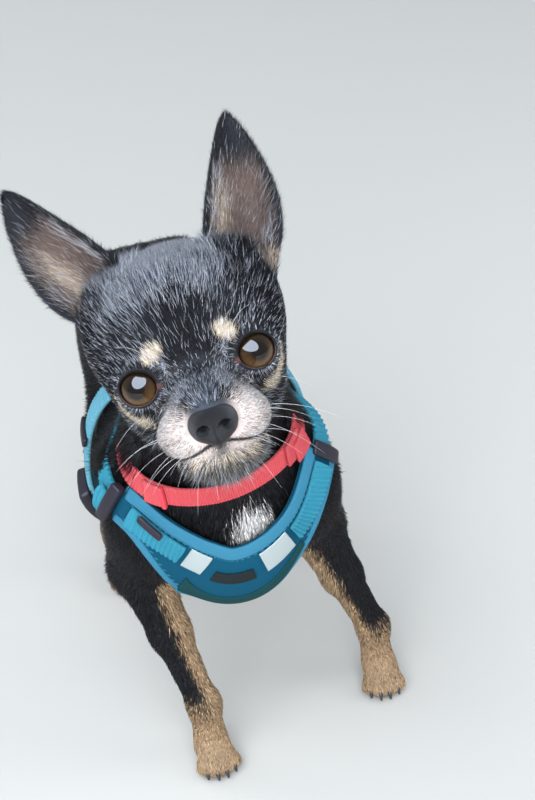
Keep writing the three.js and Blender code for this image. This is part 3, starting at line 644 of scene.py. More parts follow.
def ear_place(u, v, side):
    """A place on the ear's own leaf: u runs round it, first over its back and then inside the cup."""
    height = -0.2 + 1.2 * v
    wrap = 1.45 - 0.7 * ramp(height, -0.1, 0.75)
    radius = half_width(height) / np.sin(wrap)
    over_back = u < 0.5
    sweep = np.where(over_back, 4 * u - 1, 3 - 4 * u) * wrap
    edge = np.abs(sweep / wrap)
    wall = EAR_THICKNESS * (1 - 0.35 * height) * (1 - 0.45 * edge**3) - EAR_COAT
    folds = 1.1 * np.exp(-((height - 0.12) / 0.16) ** 2) * np.cos(sweep * 5.5) * (edge < 0.9)
    bend = radius - np.where(over_back, EAR_COAT, np.minimum(wall + folds, radius * 0.8))
    return np.stack([bend * np.sin(sweep) + side * EAR_SWAY * np.sin(np.pi * np.maximum(height, 0)),
                     bend * np.cos(sweep) - radius * np.cos(wrap), height * EAR_LENGTH], 1)


def on_leaf(local, side):
    """How high a place is on an ear, how far off its middle line, and that as a share of the half width."""
    height = local[:, 2] / EAR_LENGTH
    out = side * local[:, 0] - EAR_SWAY * np.sin(np.pi * np.clip(height, 0, 1))
    return height, out, np.abs(out) / half_width(height)


def make_ear(name):
    side = EARS[name][0]
    leaf = bmesh.new()
    columns, rows = ((88, 56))
    bmesh.ops.create_grid(leaf, x_segments=columns, y_segments=rows, size=0.5)
    grid = np.clip(places_of(leaf) + 0.5, 0, 1)
    turn, root = ear_matrix(name)
    put(leaf, from_head(ear_place(grid[:, 0], grid[:, 1], side) @ turn.T + root))
    bmesh.ops.remove_doubles(leaf, verts=leaf.verts, dist=0.02)
    bmesh.ops.holes_fill(leaf, edges=[edge for edge in leaf.edges if edge.is_boundary])
    split_large_faces(leaf)
    smooth(leaf, leaf.verts)
    bmesh.ops.recalc_face_normals(leaf, faces=leaf.faces)
    if leaf.calc_volume(signed=True) < 0:
        bmesh.ops.reverse_faces(leaf, faces=leaf.faces)
    piece = bpy.data.objects.new(name + " leaf", to_mesh(leaf, name))
    scene.collection.objects.link(piece)
    return piece


skin_mesh = to_mesh(skin_form, "skin")
skin = new_object("skin", skin_mesh, None)
for name in EARS:
    leaf = make_ear(name)
    union = skin.modifiers.new("union", "BOOLEAN")
    union.operation, union.solver, union.object = "UNION", "MANIFOLD", leaf
    joined = applied(skin)
    skin.modifiers.clear()
    skin.data = joined
    bpy.data.objects.remove(leaf)
skin_mesh = skin.data


def ear_share(h):
    """1 on the ears, 0 on the skull, from how far a place stands off the skull."""
    return ramp(head_field(h), 1.2, 3.5) * (h[:, 2] > 12) * (np.abs(h[:, 0]) > 16) * (h[:, 1] > -22)


def soften_ear_roots(rounds):
    form = bmesh.new()
    form.from_mesh(skin_mesh)
    h = to_head(places_of(form))
    near_skull = np.abs(head_field(h) + 0.3) < 2.4
    chosen = near_skull & (h[:, 2] > 14) & (np.abs(h[:, 0]) > 14) & (h[:, 1] > -14) & (h[:, 1] < 30)
    crease = [vertex for vertex, take in zip(form.verts, chosen) if take]
    for _ in range(rounds):
        smooth(form, crease)
    form.to_mesh(skin_mesh)
    form.free()


soften_ear_roots(6)
triangles = sum(len(face.vertices) - 2 for face in skin_mesh.polygons)
print("skin with ears", len(skin_mesh.vertices), "vertices,", triangles, "triangles")

# %% [markdown]
# ## Markings
# The dog is black and tan with a grey bloom of pale hairs: a greyed forehead, pale tan spots over the eyes,
# pinkish cream sides of the muzzle, a cream line under each eye, a pale patch on the breast, and tan on the
# feet and the insides of the legs. Some light is painted in too: a bluish sky sheen on the top of the head
# and along the bridge, and a highlight on the pale lower lip. The markings could be painted on an image, but
# the skin and every tuft must agree, so one Python function gives the colour at any place on the body, and
# it is written to a colour attribute.

# %% Markings as a function of place
BLACK, SOOT = np.array([0.017, 0.017, 0.02]), np.array([0.035, 0.036, 0.042])
SKY_SHEEN_GREY, SILVER = np.array([0.12, 0.15, 0.21]), np.array([0.71, 0.77, 0.9])
TAN, CREAM, BLUSH = np.array([0.34, 0.21, 0.11]), np.array([0.84, 0.71, 0.57]), np.array([1.0, 0.87, 0.84])
MAUVE, RIM = np.array([0.17, 0.125, 0.11]), np.array([0.006, 0.006, 0.007])
EAR_TAN, LEG_TAN = np.array([0.46, 0.38, 0.31]), np.array([0.44, 0.31, 0.19])
CHIN, WHITE = np.array([0.18, 0.165, 0.135]), np.array([0.96, 0.96, 0.98])


def spot(p, centre, radii, soft=0.35):
    """1 inside a soft-edged ellipsoid, 0 outside."""
    away = np.linalg.norm((p - centre) / radii, axis=1)
    return 1 - ramp(away, 1 - soft, 1 + soft)


def stroke(p, start, end, radius, soft=0.5):
    """1 near a line, 0 away from it."""
    away = taper(start, 0, end, 0)(p) / radius
    return 1 - ramp(away, 1 - soft, 1 + soft)


def paint(colour, mask, over, dither=None):
    """Lays a colour over another. With dither, a number for each hair, each hair takes only one of them."""
    if dither is not None:
        mask = np.clip((mask - dither) * 6 + 0.5, 0, 1) * (mask > 0.01)
    return colour + (over - colour) * mask[:, None]


def into_cup(normal, name):
    """How far the skin faces out of the cup of an ear, from -1 to 1."""
    return -((normal @ HEAD_TURN) @ ear_matrix(name)[0])[:, 1]


class Marks:
    """Colours, and shares of silver hairs, that are laid one after another over black."""

    def __init__(self, p, h, normal, dither):
        self.p, self.h, self.normal, self.dither = p, h, normal, dither
        self.mirrored = np.abs(h * [1, 0, 0]) + h * [0, 1, 1]
        self.head = head_share(p)
        self.ear = ear_share(h) * self.head
        self.colour = np.tile(BLACK, (len(p), 1))
        self.silver = 0.014 * self.head

    def dye(self, mask, over):
        self.colour = paint(self.colour, mask, over, self.dither)

    def frost(self, share):
        self.silver = np.maximum(self.silver, share)

    def darken(self, mask):
        self.silver = self.silver * (1 - mask)


def mark_crown(marks):
    """The grey bloom, with painted bluish sky sheen, on forehead and bridge, and blacker coat between the
    eyes, whose mask it returns.
    """
    h, m, head, ear = marks.h, marks.mirrored, marks.head, marks.ear
    top = ramp(h[:, 2], 20, 42) * (1 - ramp(np.abs(h[:, 0] + 5), 18, 34)) * head * (1 - ear)
    bridge = stroke(m, (0, -60, -9), (0, -40, -1), 6.5, 0.7) * head
    by_bridge = stroke(m, (9, -50, -5), (13, -36, 3), 5.5, 0.7) * head
    between = stroke(m, (0, -36, 9), (0, -32, 25), 11, 0.5) * head
    crown = ramp(h[:, 2], 36, 50) * (1 - ramp(np.abs(h[:, 0]), 16, 30)) * head * (1 - ear)
    # Painted sheen: the bluish grey laid on the top of the head and along the bridge is the sky mirrored in
    # black hair, painted into its colour.
    marks.dye(0.48 * top + 0.03 * head, SKY_SHEEN_GREY)
    marks.dye(0.55 * bridge, SKY_SHEEN_GREY)
    marks.dye(0.9 * between, BLACK * 0.5)
    # The dense pale hairs on the crown stand partly for the same painted sky sheen.
    marks.frost(0.55 * crown)
    marks.frost(0.2 * top + 0.05 * head * (1 - ear))
    marks.frost(0.16 * bridge + 0.36 * by_bridge)
    return between


def mark_round_eyes(marks):
    around_eye = 0
    for side in (1, -1):
        e = eye_frame(marks.h, side)
        span, in_front = lid_span(e), (e[:, 1] < 2) * marks.head
        around_eye = np.maximum(around_eye, (1 - ramp(span, 1.5, 2.4)) * in_front)
        lower_lid = np.exp(-(((span - 1.36) / 0.13) ** 2)) * ramp(-e[:, 2], -1, 4) * in_front
        marks.frost(0.6 * lower_lid)
    marks.frost(0.14 * around_eye)
    temple = spot(marks.mirrored, (34, -4, 14), (13, 18, 16), 0.6) * marks.head * (1 - marks.ear)
    marks.frost(0.05 * temple)


CHEEK_LINE = [(36.3, -16, -2), (34.6, -17, -9), (29, -20, -16), (20, -40, -21)]
CHEEK_RADII = (1.6, 2.5, 3.6)
# The pale lower lip, which is cream hair with a painted highlight, runs along this line.
LIP_LINE = [(0, -57, -33), (12, -52, -33.5), (20, -38, -32)]
LIP_RADII = (1.7, 1.5)


def strokes(m, line, radii):
    return [stroke(m, start, end, radius) for start, end, radius in zip(line, line[1:], radii)]


def mark_muzzle(marks, between):
    """Cream cheek lines, a pale lower lip that is partly painted highlight, pinkish sides, chin, spots over
    the eyes, and dark lips.
    """
    h, m, head = marks.h, marks.mirrored, marks.head
    cheek = np.maximum.reduce(strokes(m, CHEEK_LINE, CHEEK_RADII))
    side_muzzle = np.maximum(spot(m, (16, -49, -17), (10, 17, 9.5), 0.6),
                             spot(m, (11, -56, -25), (12, 13, 8), 0.5))
    side_muzzle *= 1 - 0.85 * stroke(m, (0, -62, -9), (0, -36, 2), 7, 0.5)
    under_nose = spot(m, (0, -62, -27), (5, 8, 5), 0.5)
    chin = spot(m, (0, -44, -38), (20, 24, 8.5), 0.5)
    lower_lip_highlight = np.clip(sum(strokes(m, LIP_LINE, LIP_RADII)), 0, 1)
    slant = turned(y=0.7)
    brow_spots = spot(m @ slant, np.array([15.6, -36, 12.8]) @ slant, (5.2, 7, 3.5), 0.3)
    throat = ramp(-h[:, 2], 38, 50) * ramp(-h[:, 1], 0, 20) * head
    marks.dye(0.93 * cheek * head, CREAM)
    marks.dye(0.91 * side_muzzle * head, BLUSH)
    marks.dye(0.65 * chin * head, CHIN)
    marks.dye(0.85 * under_nose * head, SOOT)
    # The pale lower lip is cream hair with a painted highlight where the lip catches the light.
    marks.dye(0.75 * lower_lip_highlight * head, CREAM * 0.85)
    marks.dye(0.95 * brow_spots * head, CREAM)
    marks.dye(0.4 * throat, TAN * 0.7)
    marks.frost((0.05 * side_muzzle + 0.12 * chin) * head)
    marks.darken(0.8 * cheek)
    lips = 1 - ramp(line_distance(h, mouth_line), 1.1, 1.9)
    marks.dye(0.9 * lips * head, SOOT)
    marks.darken(lips)
    marks.darken(0.4 * between)


def mark_ears(marks):
    """A bare mauve cup, a tan fringe along it and a tan lobe."""
    for name, (side, _, _) in EARS.items():
        local = in_ear(marks.h, name)
        on_side = marks.h[:, 0] * side > 0
        mine = marks.ear * on_side
        inside = mine * ramp(into_cup(marks.normal, name), -0.1, 0.3)
        height, out, edge = on_leaf(local, side)
        bare = inside * (1 - ramp(edge, 0.66, 0.92)) * (1 - ramp(height, 0.58, 0.8))
        fringe = np.exp(-(((out - EAR_FRINGE[name]) / 4.5) ** 2)) * (1 - ramp(height, 0.4, 0.66)) * inside
        fringe = fringe * (1 - ramp(edge, 0.86, 0.97))
        marks.dye(0.9 * bare, MAUVE)
        marks.dye(0.85 * fringe, EAR_TAN)
        marks.darken(mine)
        marks.frost(0.02 * inside + 0.1 * fringe)
        lobe = spot(local, (side * 10.5, 0, 2.0), (6, 9, 6.5), 0.4) * marks.head * on_side
        marks.dye(0.75 * lobe * ramp(marks.h[:, 0], -10, 10), EAR_TAN)


def mark_body(marks):
    """A white patch on the breast, tan feet and insides of the legs, and a tan vent."""
    p, off_head = marks.p, 1 - marks.head
    marks.dye(0.97 * (spot(p, (7, -114, 158), (9.5, 13, 14), 0.5) * off_head), WHITE)
    for name in PAWS:
        side, paw, _ = PAWS[name]
        near = (np.linalg.norm(p[:, :2] - np.array(paw[:2]) - [0, 8], axis=1) < 46) * off_head
        inner = ramp(-side * marks.normal[:, 0], -0.05, 0.5)
        high = 128 if name.startswith("fore") else 100
        tan = near * inner * ramp(high - p[:, 2], 0, 16)
        tan = np.maximum(tan, near * (1 - ramp(p[:, 2], 26, 62 - 18 * (1 - inner))))
        marks.dye(0.9 * tan, LEG_TAN)
    marks.dye(0.8 * spot(p, (0, 112, 150), (16, 16, 18), 0.4), TAN)


def markings(p, h, normal, dither=None):
    """Base colour, and the share of silver hairs, for places in the body's and in the head's frame."""
    marks = Marks(p, h, normal, dither)
    between = mark_crown(marks)
    mark_round_eyes(marks)
    mark_muzzle(marks, between)
    mark_ears(marks)
    mark_body(marks)
    return marks.colour, np.clip(marks.silver, 0, 0.6)


def cloud(p, size, seed):
    """Soft unevenness over the body, from a few crossed waves."""
    draw = np.random.default_rng(seed)
    total = 0
    for _ in range(6):
        direction = unit(draw.normal(size=3))
        total = total + np.sin(p @ direction * (2 * np.pi / size) * draw.uniform(0.6, 1.6)
                               + draw.uniform(0, 6.3))
    return total / 6


def write_colour(mesh, name, colours):
    layer = mesh.color_attributes.new(name, "FLOAT_COLOR", "POINT")
    rgba = np.ones((len(colours), 4), np.float32)
    rgba[:, :3] = np.clip(colours, 0, 1)
    layer.data.foreach_set("color", rgba.ravel())


# %% Unwrap and paint the skin
WET_LID, EYE_CORNER = np.array([0.3, 0.2, 0.18]), np.array([0.13, 0.06, 0.055])
skin_places = coordinates(skin_mesh)
skin_head = to_head(skin_places)
skin_normals = coordinates(skin_mesh, "normal")
colour, silver = markings(skin_places, skin_head, skin_normals)
shade = 1 + 0.18 * cloud(skin_places, 30, 3) + 0.12 * cloud(skin_places, 7, 4)
colour = colour * shade[:, None] * 0.8 + 0.12 * silver[:, None] * SILVER
for side in (1, -1):
    e = eye_frame(skin_head, side)
    near_ball = (e[:, 1] < 0) * (np.linalg.norm(e, axis=1) < EYE_RADIUS + 3)
    colour = paint(colour, (1 - ramp(lid_span(e), 1.06, 1.2)) * near_ball, RIM)
    wet_rim = np.exp(-(((lid_span(e) - 0.97) / 0.05) ** 2)) * ramp(-e[:, 2], -2, 4) * near_ball
    colour = paint(colour, 0.5 * wet_rim, WET_LID)
    inner_corner = spot(e, (-side * 9.0, -5.6, -1.0), (1.8, 2.5, 1.5), 0.4)
    colour = paint(colour, 0.9 * inner_corner, EYE_CORNER)
colour = paint(colour, 1 - ramp(line_distance(skin_head, mouth_line), 0.6, 1.5), RIM)
pads = (skin_places[:, 2] < 2.5) * 1.0
colour = paint(colour, pads, RIM * 1.5)
write_colour(skin_mesh, "coat", colour)

bpy.context.view_layer.objects.active = skin
skin.select_set(True)
move_vertices(skin_mesh, in_row(skin_places))
bpy.ops.object.mode_set(mode="EDIT")
bpy.ops.mesh.select_all(action="SELECT")
bpy.ops.uv.smart_project(angle_limit=math.radians(66), island_margin=0.002)
bpy.ops.object.mode_set(mode="OBJECT")
skin_mesh.uv_layers[0].name = "OFBake"
skin_mesh.shade_smooth()

hide = Finish("skin and undercoat", Roughness=0.5, Specular_IOR_Level=0.12)
undercoat = hide.painted("coat")
grain = hide.node("ShaderNodeTexNoise", {}, {"Scale": 1400.0, "Detail": 3.0})["Fac"]
hide.feed(Base_Color=hide.mix(grain * 0.35, undercoat, (0.01, 0.01, 0.012, 1)))
hide.bump(grain, 0.0004, 0.5)
skin_mesh.materials.clear()
skin_mesh.materials.append(hide.material)
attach(skin, "root")
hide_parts(*FLESH, *EARS)
print("skin painted, spans", [round(v, 4) for v in np.ptp(coordinates(skin_mesh), axis=0)])

# %% [markdown]
# ## Coat
# The coat is short, so most of it is tufts that lie along the body and overlap like shingles, and stand
# out only a little at the outline. Particle hair and curves are lost when the model is exported, so each
# tuft is a closed sliver of four faces, and many of them are joined in one mesh built from arrays. How a
# tuft grows is worked out once for every vertex of the skin: how likely, how long, how wide, how steep,
# which way, and in what colour.

# %% How the coat grows over the skin
def outward_of_eyes(h):
    """Directions away from the nearer eye, and how strongly they count."""
    total, strongest = 0, 0
    for side in (1, -1):
        away = h - eye_front(side)
        near = 1 - ramp(np.linalg.norm(away, axis=1), 8, 21)
        total = total + unit(away) * near[:, None]
        strongest = np.maximum(strongest, near)
    return total, strongest


def turn_to(run, share, way):
    """Turns the coat towards another way where the share is 1."""
    return run * (1 - share[:, None]) + np.array(way) * share[:, None]


def lie_of(p, h):
    """The way the coat runs, in the body's frame, before it is laid on the skin."""
    onward = np.stack([0 * h[:, 0], 0.35 + 0 * h[:, 0], 0.25 * ramp(h[:, 2], 0, 30)], 1)
    run = unit(h - [0, -60, -15]) + onward
    away, near = outward_of_eyes(h)
    run = run * (1 - 0.75 * near[:, None]) + 0.9 * away
    for name, (side, _, _) in EARS.items():
        local = in_ear(h, name)
        mine = ear_share(h) * (h[:, 0] * side > 0)
        spread = 0.03 * local[:, 0] + 0.05 * (local[:, 0] - side * 2) * (1 - ramp(local[:, 2], 10, 44))
        fan = np.stack([spread, 0 * spread, 1 + 0 * spread], 1)
        run = turn_to(run, mine, unit(fan) @ ear_matrix(name)[0].T)
    head_run = unit(run) @ HEAD_TURN.T

    trunk_run = np.stack([0 * p[:, 0], 1 + 0 * p[:, 0], -0.15 - 0.012 * np.abs(p[:, 0])], 1)
    breast = ramp(-p[:, 1], 62, 100) * ramp(p[:, 2], 100, 130)
    throat = ramp(p[:, 2], 175, 205) * ramp(-p[:, 1], 20, 60)
    leg = 1 - ramp(p[:, 2], 92, 128)
    toe = 1 - ramp(p[:, 2], 9, 22)
    rump = ramp(p[:, 1], 100, 122) * ramp(p[:, 2], 60, 90)
    for share, way in ((breast, (0, 0.25, -1.0)), (throat, (0, 0.5, -0.8)), (leg, (0, 0.12, -1.0)),
                       (toe, (0, -1.0, -0.45)), (rump, (0.1, 0.35, -1.0))):
        trunk_run = turn_to(trunk_run, share, way)
    share = head_share(p)[:, None]
    return unit(head_run * share + unit(trunk_run) * (1 - share))


def nose_field(h):
    wing = lambda side: ellipsoid((side * 5.4, NOSE_TIP + 7.5, NOSE_HEIGHT - 0.6), (4.2, 6.4, 5))
    return join(3, ellipsoid((0, NOSE_TIP + 8, NOSE_HEIGHT + 1.5), (NOSE_HALF, 8, 6.6)),
                ellipsoid((0, NOSE_TIP + 7, NOSE_HEIGHT - 3), (NOSE_HALF - 3.4, 6.5, 6)), *both(wing))(h)


def growth(p, h, normal):
    """Chance, length, width and steepness of the tufts, sizes in millimetres and radians."""
    head, ear = head_share(p), ear_share(h)
    muzzle = ramp(-h[:, 1], 34, 50)
    brow = ramp(h[:, 2], 14, 34)
    cheek = ramp(-h[:, 2], 4, 24) * ramp(h[:, 1], -26, -4)
    length = 3.6 - 1.0 * muzzle + 1.5 * brow + 3.0 * cheek
    beard = spot(h, (0, -42, -40), (22, 24, 9), 0.4)
    length = length + 6.0 * beard
    _, near = outward_of_eyes(h)
    length = length * (1 - 0.12 * near)
    width = 0.22 - 0.01 * muzzle + 0.1 * cheek
    lift = 0.12 + 0.04 * brow + 0.22 * beard + 0.14 * cheek
    length = length * (1 - ear) + 3.2 * ear
    width = width * (1 - 0.25 * ear)
    body_length = 6.6 - 2.8 * (1 - ramp(p[:, 2], 60, 120)) - 1.6 * (1 - ramp(p[:, 2], 10, 40))
    body_length = body_length + 2.5 * ramp(p[:, 2], 150, 185) * ramp(-p[:, 1], 60, 90)
    length = body_length + (length - body_length) * head
    body_width = 0.5 - 0.16 * (1 - ramp(p[:, 2], 15, 70))
    width = body_width + (width - body_width) * head
    lift = 0.15 + (lift - 0.15) * head
    length = length * (0.45 + 0.55 * ramp(line_distance(h, mouth_line), 1, 4))

    chance = np.ones(len(p))
    for side in (1, -1):
        e = eye_frame(h, side)
        globe = np.linalg.norm(e, axis=1)
        chance *= ~((globe < EYE_RADIUS + 4) & (e[:, 1] < 0) & (lid_span(e) < 1.08))
    chance *= line_distance(h, mouth_line) > 0.8
    chance *= line_distance(h, philtrum_line) > 0.9
    chance *= (nose_field(h) > 0.5) | (head < 0.5)
    chance *= (p[:, 2] > 3.0)
    return chance, length, width, lift


worn = bmesh.new()
FABRIC = [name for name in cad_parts
          if name in ("collar", "chest_plate", "withers_pad") or "_strap" in name]
for name in FABRIC:
    worn.from_mesh(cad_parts[name].data)
worn_tree = BVHTree.FromBMesh(worn)
worn.free()
COVER_REACH = 6.0


def uncovered(places, normals):
    """False where a strap or a pad lies straight above the skin. Places are in metres."""
    reach = COVER_REACH * MM
    return np.array([worn_tree.ray_cast(Vector(p), Vector(n), reach)[0] is None
                     for p, n in zip(places, normals)])


chance, length, width, lift = growth(skin_places, skin_head, skin_normals)
open_skin = uncovered(in_row(skin_places), skin_normals) | (head_share(skin_places) > 0.9)
ear_amount = ear_share(skin_head) * head_share(skin_places)
inside_ear = np.zeros(len(skin_places))
for name, (side, _, _) in EARS.items():
    inside_ear += ear_amount * (skin_head[:, 0] * side > 0) * ramp(into_cup(skin_normals, name), -0.05, 0.3)
lie = lie_of(skin_places, skin_head)
traits = np.column_stack([skin_places, skin_normals, lie, length, width, lift])
print("coat: share of skin that shows", round(float(np.mean(chance * open_skin)), 3))


# %% Tufts
skin_mesh.calc_loop_triangles()
triangle_count = len(skin_mesh.loop_triangles)
corners, corner_loops = (np.empty(triangle_count * 3, np.int32) for _ in range(2))
skin_mesh.loop_triangles.foreach_get("vertices", corners)
skin_mesh.loop_triangles.foreach_get("loops", corner_loops)
corners, corner_loops = corners.reshape(-1, 3), corner_loops.reshape(-1, 3)
skin_uv = np.empty(len(skin_mesh.loops) * 2, np.float32)
skin_mesh.uv_layers["OFBake"].data.foreach_get("uv", skin_uv)
skin_uv = skin_uv.reshape(-1, 2)
a, b, c = (skin_places[corners[:, i]] for i in range(3))
triangle_area = np.linalg.norm(np.cross(b - a, c - a), axis=1) / 2
UV_PATCH = 0.003


def fast_mesh(name, places, triangles, colours, uv):
    """A mesh of triangles from arrays; colours are per vertex, uv per vertex too."""
    mesh = bpy.data.meshes.new(name)
    mesh.vertices.add(len(places))
    mesh.loops.add(triangles.size)
    mesh.polygons.add(len(triangles))
    mesh.vertices.foreach_set("co", np.ascontiguousarray(places, np.float32).ravel())
    mesh.loops.foreach_set("vertex_index", np.ascontiguousarray(triangles, np.int32).ravel())
    mesh.polygons.foreach_set("loop_start", np.arange(0, triangles.size, 3, dtype=np.int32))
    layer = mesh.uv_layers.new(name="OFBake")
    layer.data.foreach_set("uv", np.ascontiguousarray(uv[triangles.ravel()], np.float32).ravel())
    write_colour(mesh, "coat", colours)
    mesh.update(calc_edges=True)
    mesh.validate()
    return mesh


# Each tuft is painted darker at its two root corners, as shade among the hairs, and lighter at its tip and
# crest, which stand out in the light.
ROOT_DEPTH, CORNER_PAINTED_SHADE = 0.12, (0.6, 0.6, 1.15, 0.95)
CORNER_UV = np.array([[-0.5, 0], [0.5, 0], [0, 1], [0, 0.35]])
SLIVER = np.array([[0, 1, 2], [1, 0, 3], [2, 1, 3], [0, 2, 3]])


def grow(name, weight, count, seed, finish, longer=1.0, wider=1.0, steeper=0.0, stray=0.17, silvered=0.0):
    """A mesh of tufts, spread over the skin by weight. A tuft has two root corners, a tip and a crest."""
    draw = np.random.default_rng(seed)
    count = count
    total = np.cumsum(triangle_area * weight[corners].min(1))
    pick = np.searchsorted(total, (np.arange(count) + draw.random(count)) / count * total[-1])
    r, s = np.sqrt(draw.random(count)), draw.random(count)
    bary = np.stack([1 - r, r * (1 - s), r * s], 1)[:, :, None]
    root = (traits[corners[pick]] * bary).sum(1)
    uv = (skin_uv[corner_loops[pick]] * bary).sum(1)
    place, normal, run = root[:, :3], unit(root[:, 3:6]), root[:, 6:9]
    length, width, lift = root[:, 9] * longer, root[:, 10] * wider, root[:, 11] + steeper

    run = unit(run - normal * (run * normal).sum(1, keepdims=True))
    across = np.cross(normal, run)
    swing = draw.normal(0, stray, count)[:, None]
    run = unit(run * np.cos(swing) + across * np.sin(swing))
    across = np.cross(normal, run)
    seen_at = place + run * (0.45 * length[:, None] + draw.uniform(-1, 1, (count, 1)))
    seen_at = np.where(head_share(place)[:, None] > 0.5, seen_at, place)
    colour, silver = markings(seen_at, to_head(seen_at), normal, draw.random(count))
    pale = draw.random(count) < np.maximum(silver, silvered)
    tall = np.clip(lift + draw.normal(0, 0.055, count) + 0.04 * pale, 0.02, 1.2)[:, None]
    reach = (length * np.exp(draw.normal(0, 0.18, count)) * (1 + 0.45 * pale))[:, None]
    half = (width * draw.uniform(0.35, 0.65, count) * (1 - 0.2 * pale))[:, None]
    sunk = place - normal * ROOT_DEPTH
    tip = sunk + reach * (run * np.cos(tall) + normal * np.sin(tall))
    crest = sunk + reach * 0.3 * (run * np.cos(tall) + normal * np.sin(tall)) + normal * (0.1 + half * 0.5)
    places = np.stack([sunk - across * half, sunk + across * half, tip, crest], 1).reshape(-1, 3)
    places[:, 2] = np.maximum(places[:, 2], FLOOR_CLEAR)

    tone = np.exp(draw.normal(0, 0.28 + 0.12 * ramp(colour[:, 0], 0.5, 0.8), count))[:, None]
    colour = np.where(pale[:, None], SILVER * draw.uniform(0.45, 1.0, (count, 1)), colour * tone)
    # Painted shade and light: the roots of each tuft are darker than its tip.
    colours = np.stack([colour * share for share in CORNER_PAINTED_SHADE], 1).reshape(-1, 3)
    uvs = np.clip(uv[:, None, :] + CORNER_UV * UV_PATCH, 0, 1).reshape(-1, 2)
    triangles = (SLIVER + 4 * np.arange(count)[:, None, None]).reshape(-1, 3)
    new_object(name, fast_mesh(name, in_row(places), triangles, colours, uvs), finish, slot="coat")


hair = Finish("hair", Roughness=0.4, Specular_IOR_Level=0.09)
hair.feed(Base_Color=hair.painted("coat"))
TUFTS = 48900
head_amount = head_share(skin_places)
face_weight = chance * head_amount * (1 - ear_amount)
face_weight *= 1 - 0.45 * ramp(skin_head[:, 1], -5, 30)
ear_weight = chance * ear_amount * (1 - 0.7 * inside_ear)
trunk_weight = chance * (1 - head_amount) * open_skin * (1 + 0.9 * (1 - ramp(skin_places[:, 2], 30, 110)))
for part, (weight, count) in {"head": (face_weight, 3), "ears": (ear_weight, 1),
                              "body": (trunk_weight, 3)}.items():
    for layer in range(count):
        grow(f"coat_{part}_{layer + 1}", weight, TUFTS, 11 + 7 * layer + len(part), hair)

ear_foot, ear_rim = np.zeros(len(skin_places)), np.zeros(len(skin_places))
for name, (side, _, _) in EARS.items():
    local = in_ear(skin_head, name)
    away = np.linalg.norm((local - [-side * 8, 0, 3]) / [16, 16, 8], axis=1)
    ear_foot = np.maximum(ear_foot, 1 - ramp(away, 0.6, 1.1))
    height, _, edge = on_leaf(local, side)
    mine = ear_amount * (skin_head[:, 0] * side > 0)
    along_rim = mine * inside_ear * ramp(edge, 0.4, 0.6) * (1 - ramp(edge, 0.75, 0.85))
    ear_rim += along_rim * (1 - ramp(height, 0.5, 0.75))
grow("coat_ear_foot", ear_foot * chance * head_amount, 7000, 47, hair, longer=1.5, steeper=0.14, stray=0.25)
grow("coat_ear_fringe", ear_rim * chance, 3000, 53, hair, longer=2.0, wider=0.7, steeper=0.08, stray=0.3,
     silvered=0.12)

# %% [markdown]
# ## Eyes, nose, whiskers and claws
# The eyes are whole balls with a bulge of cornea, coloured ring by ring: a large pupil, a brown iris with
# a darker edge, and the white that the lids hide. Over the iris, painted shade of the upper lid darkens the
# top and a painted glow of light lightens the bottom. The nose is a ball settled on its own field, with two
# comma-shaped nostrils pressed in and painted darker as shade in their hollows. Whiskers and claws are
# tapered tubes swept along curves.

# %% Eyes
def vertex_mesh(form, name):
    bmesh.ops.recalc_face_normals(form, faces=form.faces)
    mesh = to_mesh(form, name)
    mesh.shade_smooth()
    return mesh


IRIS, PUPIL, CORNEA = 8.1, 3.9, 0.9
IRIS_BROWN, IRIS_EDGE = np.array([0.046, 0.024, 0.01]), np.array([0.006, 0.004, 0.003])
IRIS_FIBRE = [0.02, 0.011, 0.004]
PUPIL_BLACK, EYE_WHITE = np.array([0.005, 0.003, 0.002]), np.array([0.2, 0.14, 0.12])


def iris_colours(local, out):
    """Colours of an eye whose gaze is along Z, from the distance off its axis, with painted shade of the
    upper lid over the top of the iris and a painted glow at its bottom.
    """
    turn = np.arctan2(local[:, 1], local[:, 0])
    fibres = 0.5 + 0.2 * np.sin(turn * 31 + 2 * np.sin(turn * 7)) + 0.2 * np.sin(turn * 53 + out)
    fibres += 0.1 * np.sin(turn * 17)
    brown = IRIS_BROWN + np.outer(fibres, IRIS_FIBRE)
    # Painted light: the iris is darkened towards the top as shade of the upper lid and lashes, and lightened
    # towards the bottom as a glow of light through the cornea.
    brown = brown * (0.25 + 1.05 * ramp(-local[:, 1], -5, 6))[:, None]
    brown = brown * (0.75 + 0.5 * ramp(out, PUPIL, IRIS - 2))[:, None]
    brown = paint(brown, ramp(out, IRIS - 1.6, IRIS - 0.3), IRIS_EDGE)
    brown = paint(brown, 1 - ramp(out, PUPIL - 0.8, PUPIL + 0.5), PUPIL_BLACK)
    return paint(brown, np.maximum(ramp(out, IRIS + 0.3, IRIS + 1.2), ~(local[:, 2] > 0)), EYE_WHITE)


wet = Finish("eyeball", Roughness=0.03, Specular_IOR_Level=0.5)
wet.feed(Base_Color=wet.painted("iris"))
for side, name in ((1, "eye_left"), (-1, "eye_right")):
    ball = bmesh.new()
    columns, rows = ((72, 120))
    bmesh.ops.create_uvsphere(ball, u_segments=columns, v_segments=rows, radius=EYE_RADIUS)
    mesh = vertex_mesh(ball, name)
    local = coordinates(mesh)
    out = np.hypot(local[:, 0], local[:, 1])
    write_colour(mesh, "iris", iris_colours(local, out))
    local[:, 2] += CORNEA * (1 - ramp(out, 0, IRIS + 1)) * (local[:, 2] > 0)
    placed = local @ turned(x=math.pi / 2).T
    placed = placed @ turned(z=side * EYE_TURN).T + [side * EYE_SPREAD, EYE_DEPTH, 0]
    move_vertices(mesh, in_row(from_head(placed)))
    new_object(name, mesh, wet, name, slot="eye")
print("eyes", EYE_RADIUS * 2, "mm across")

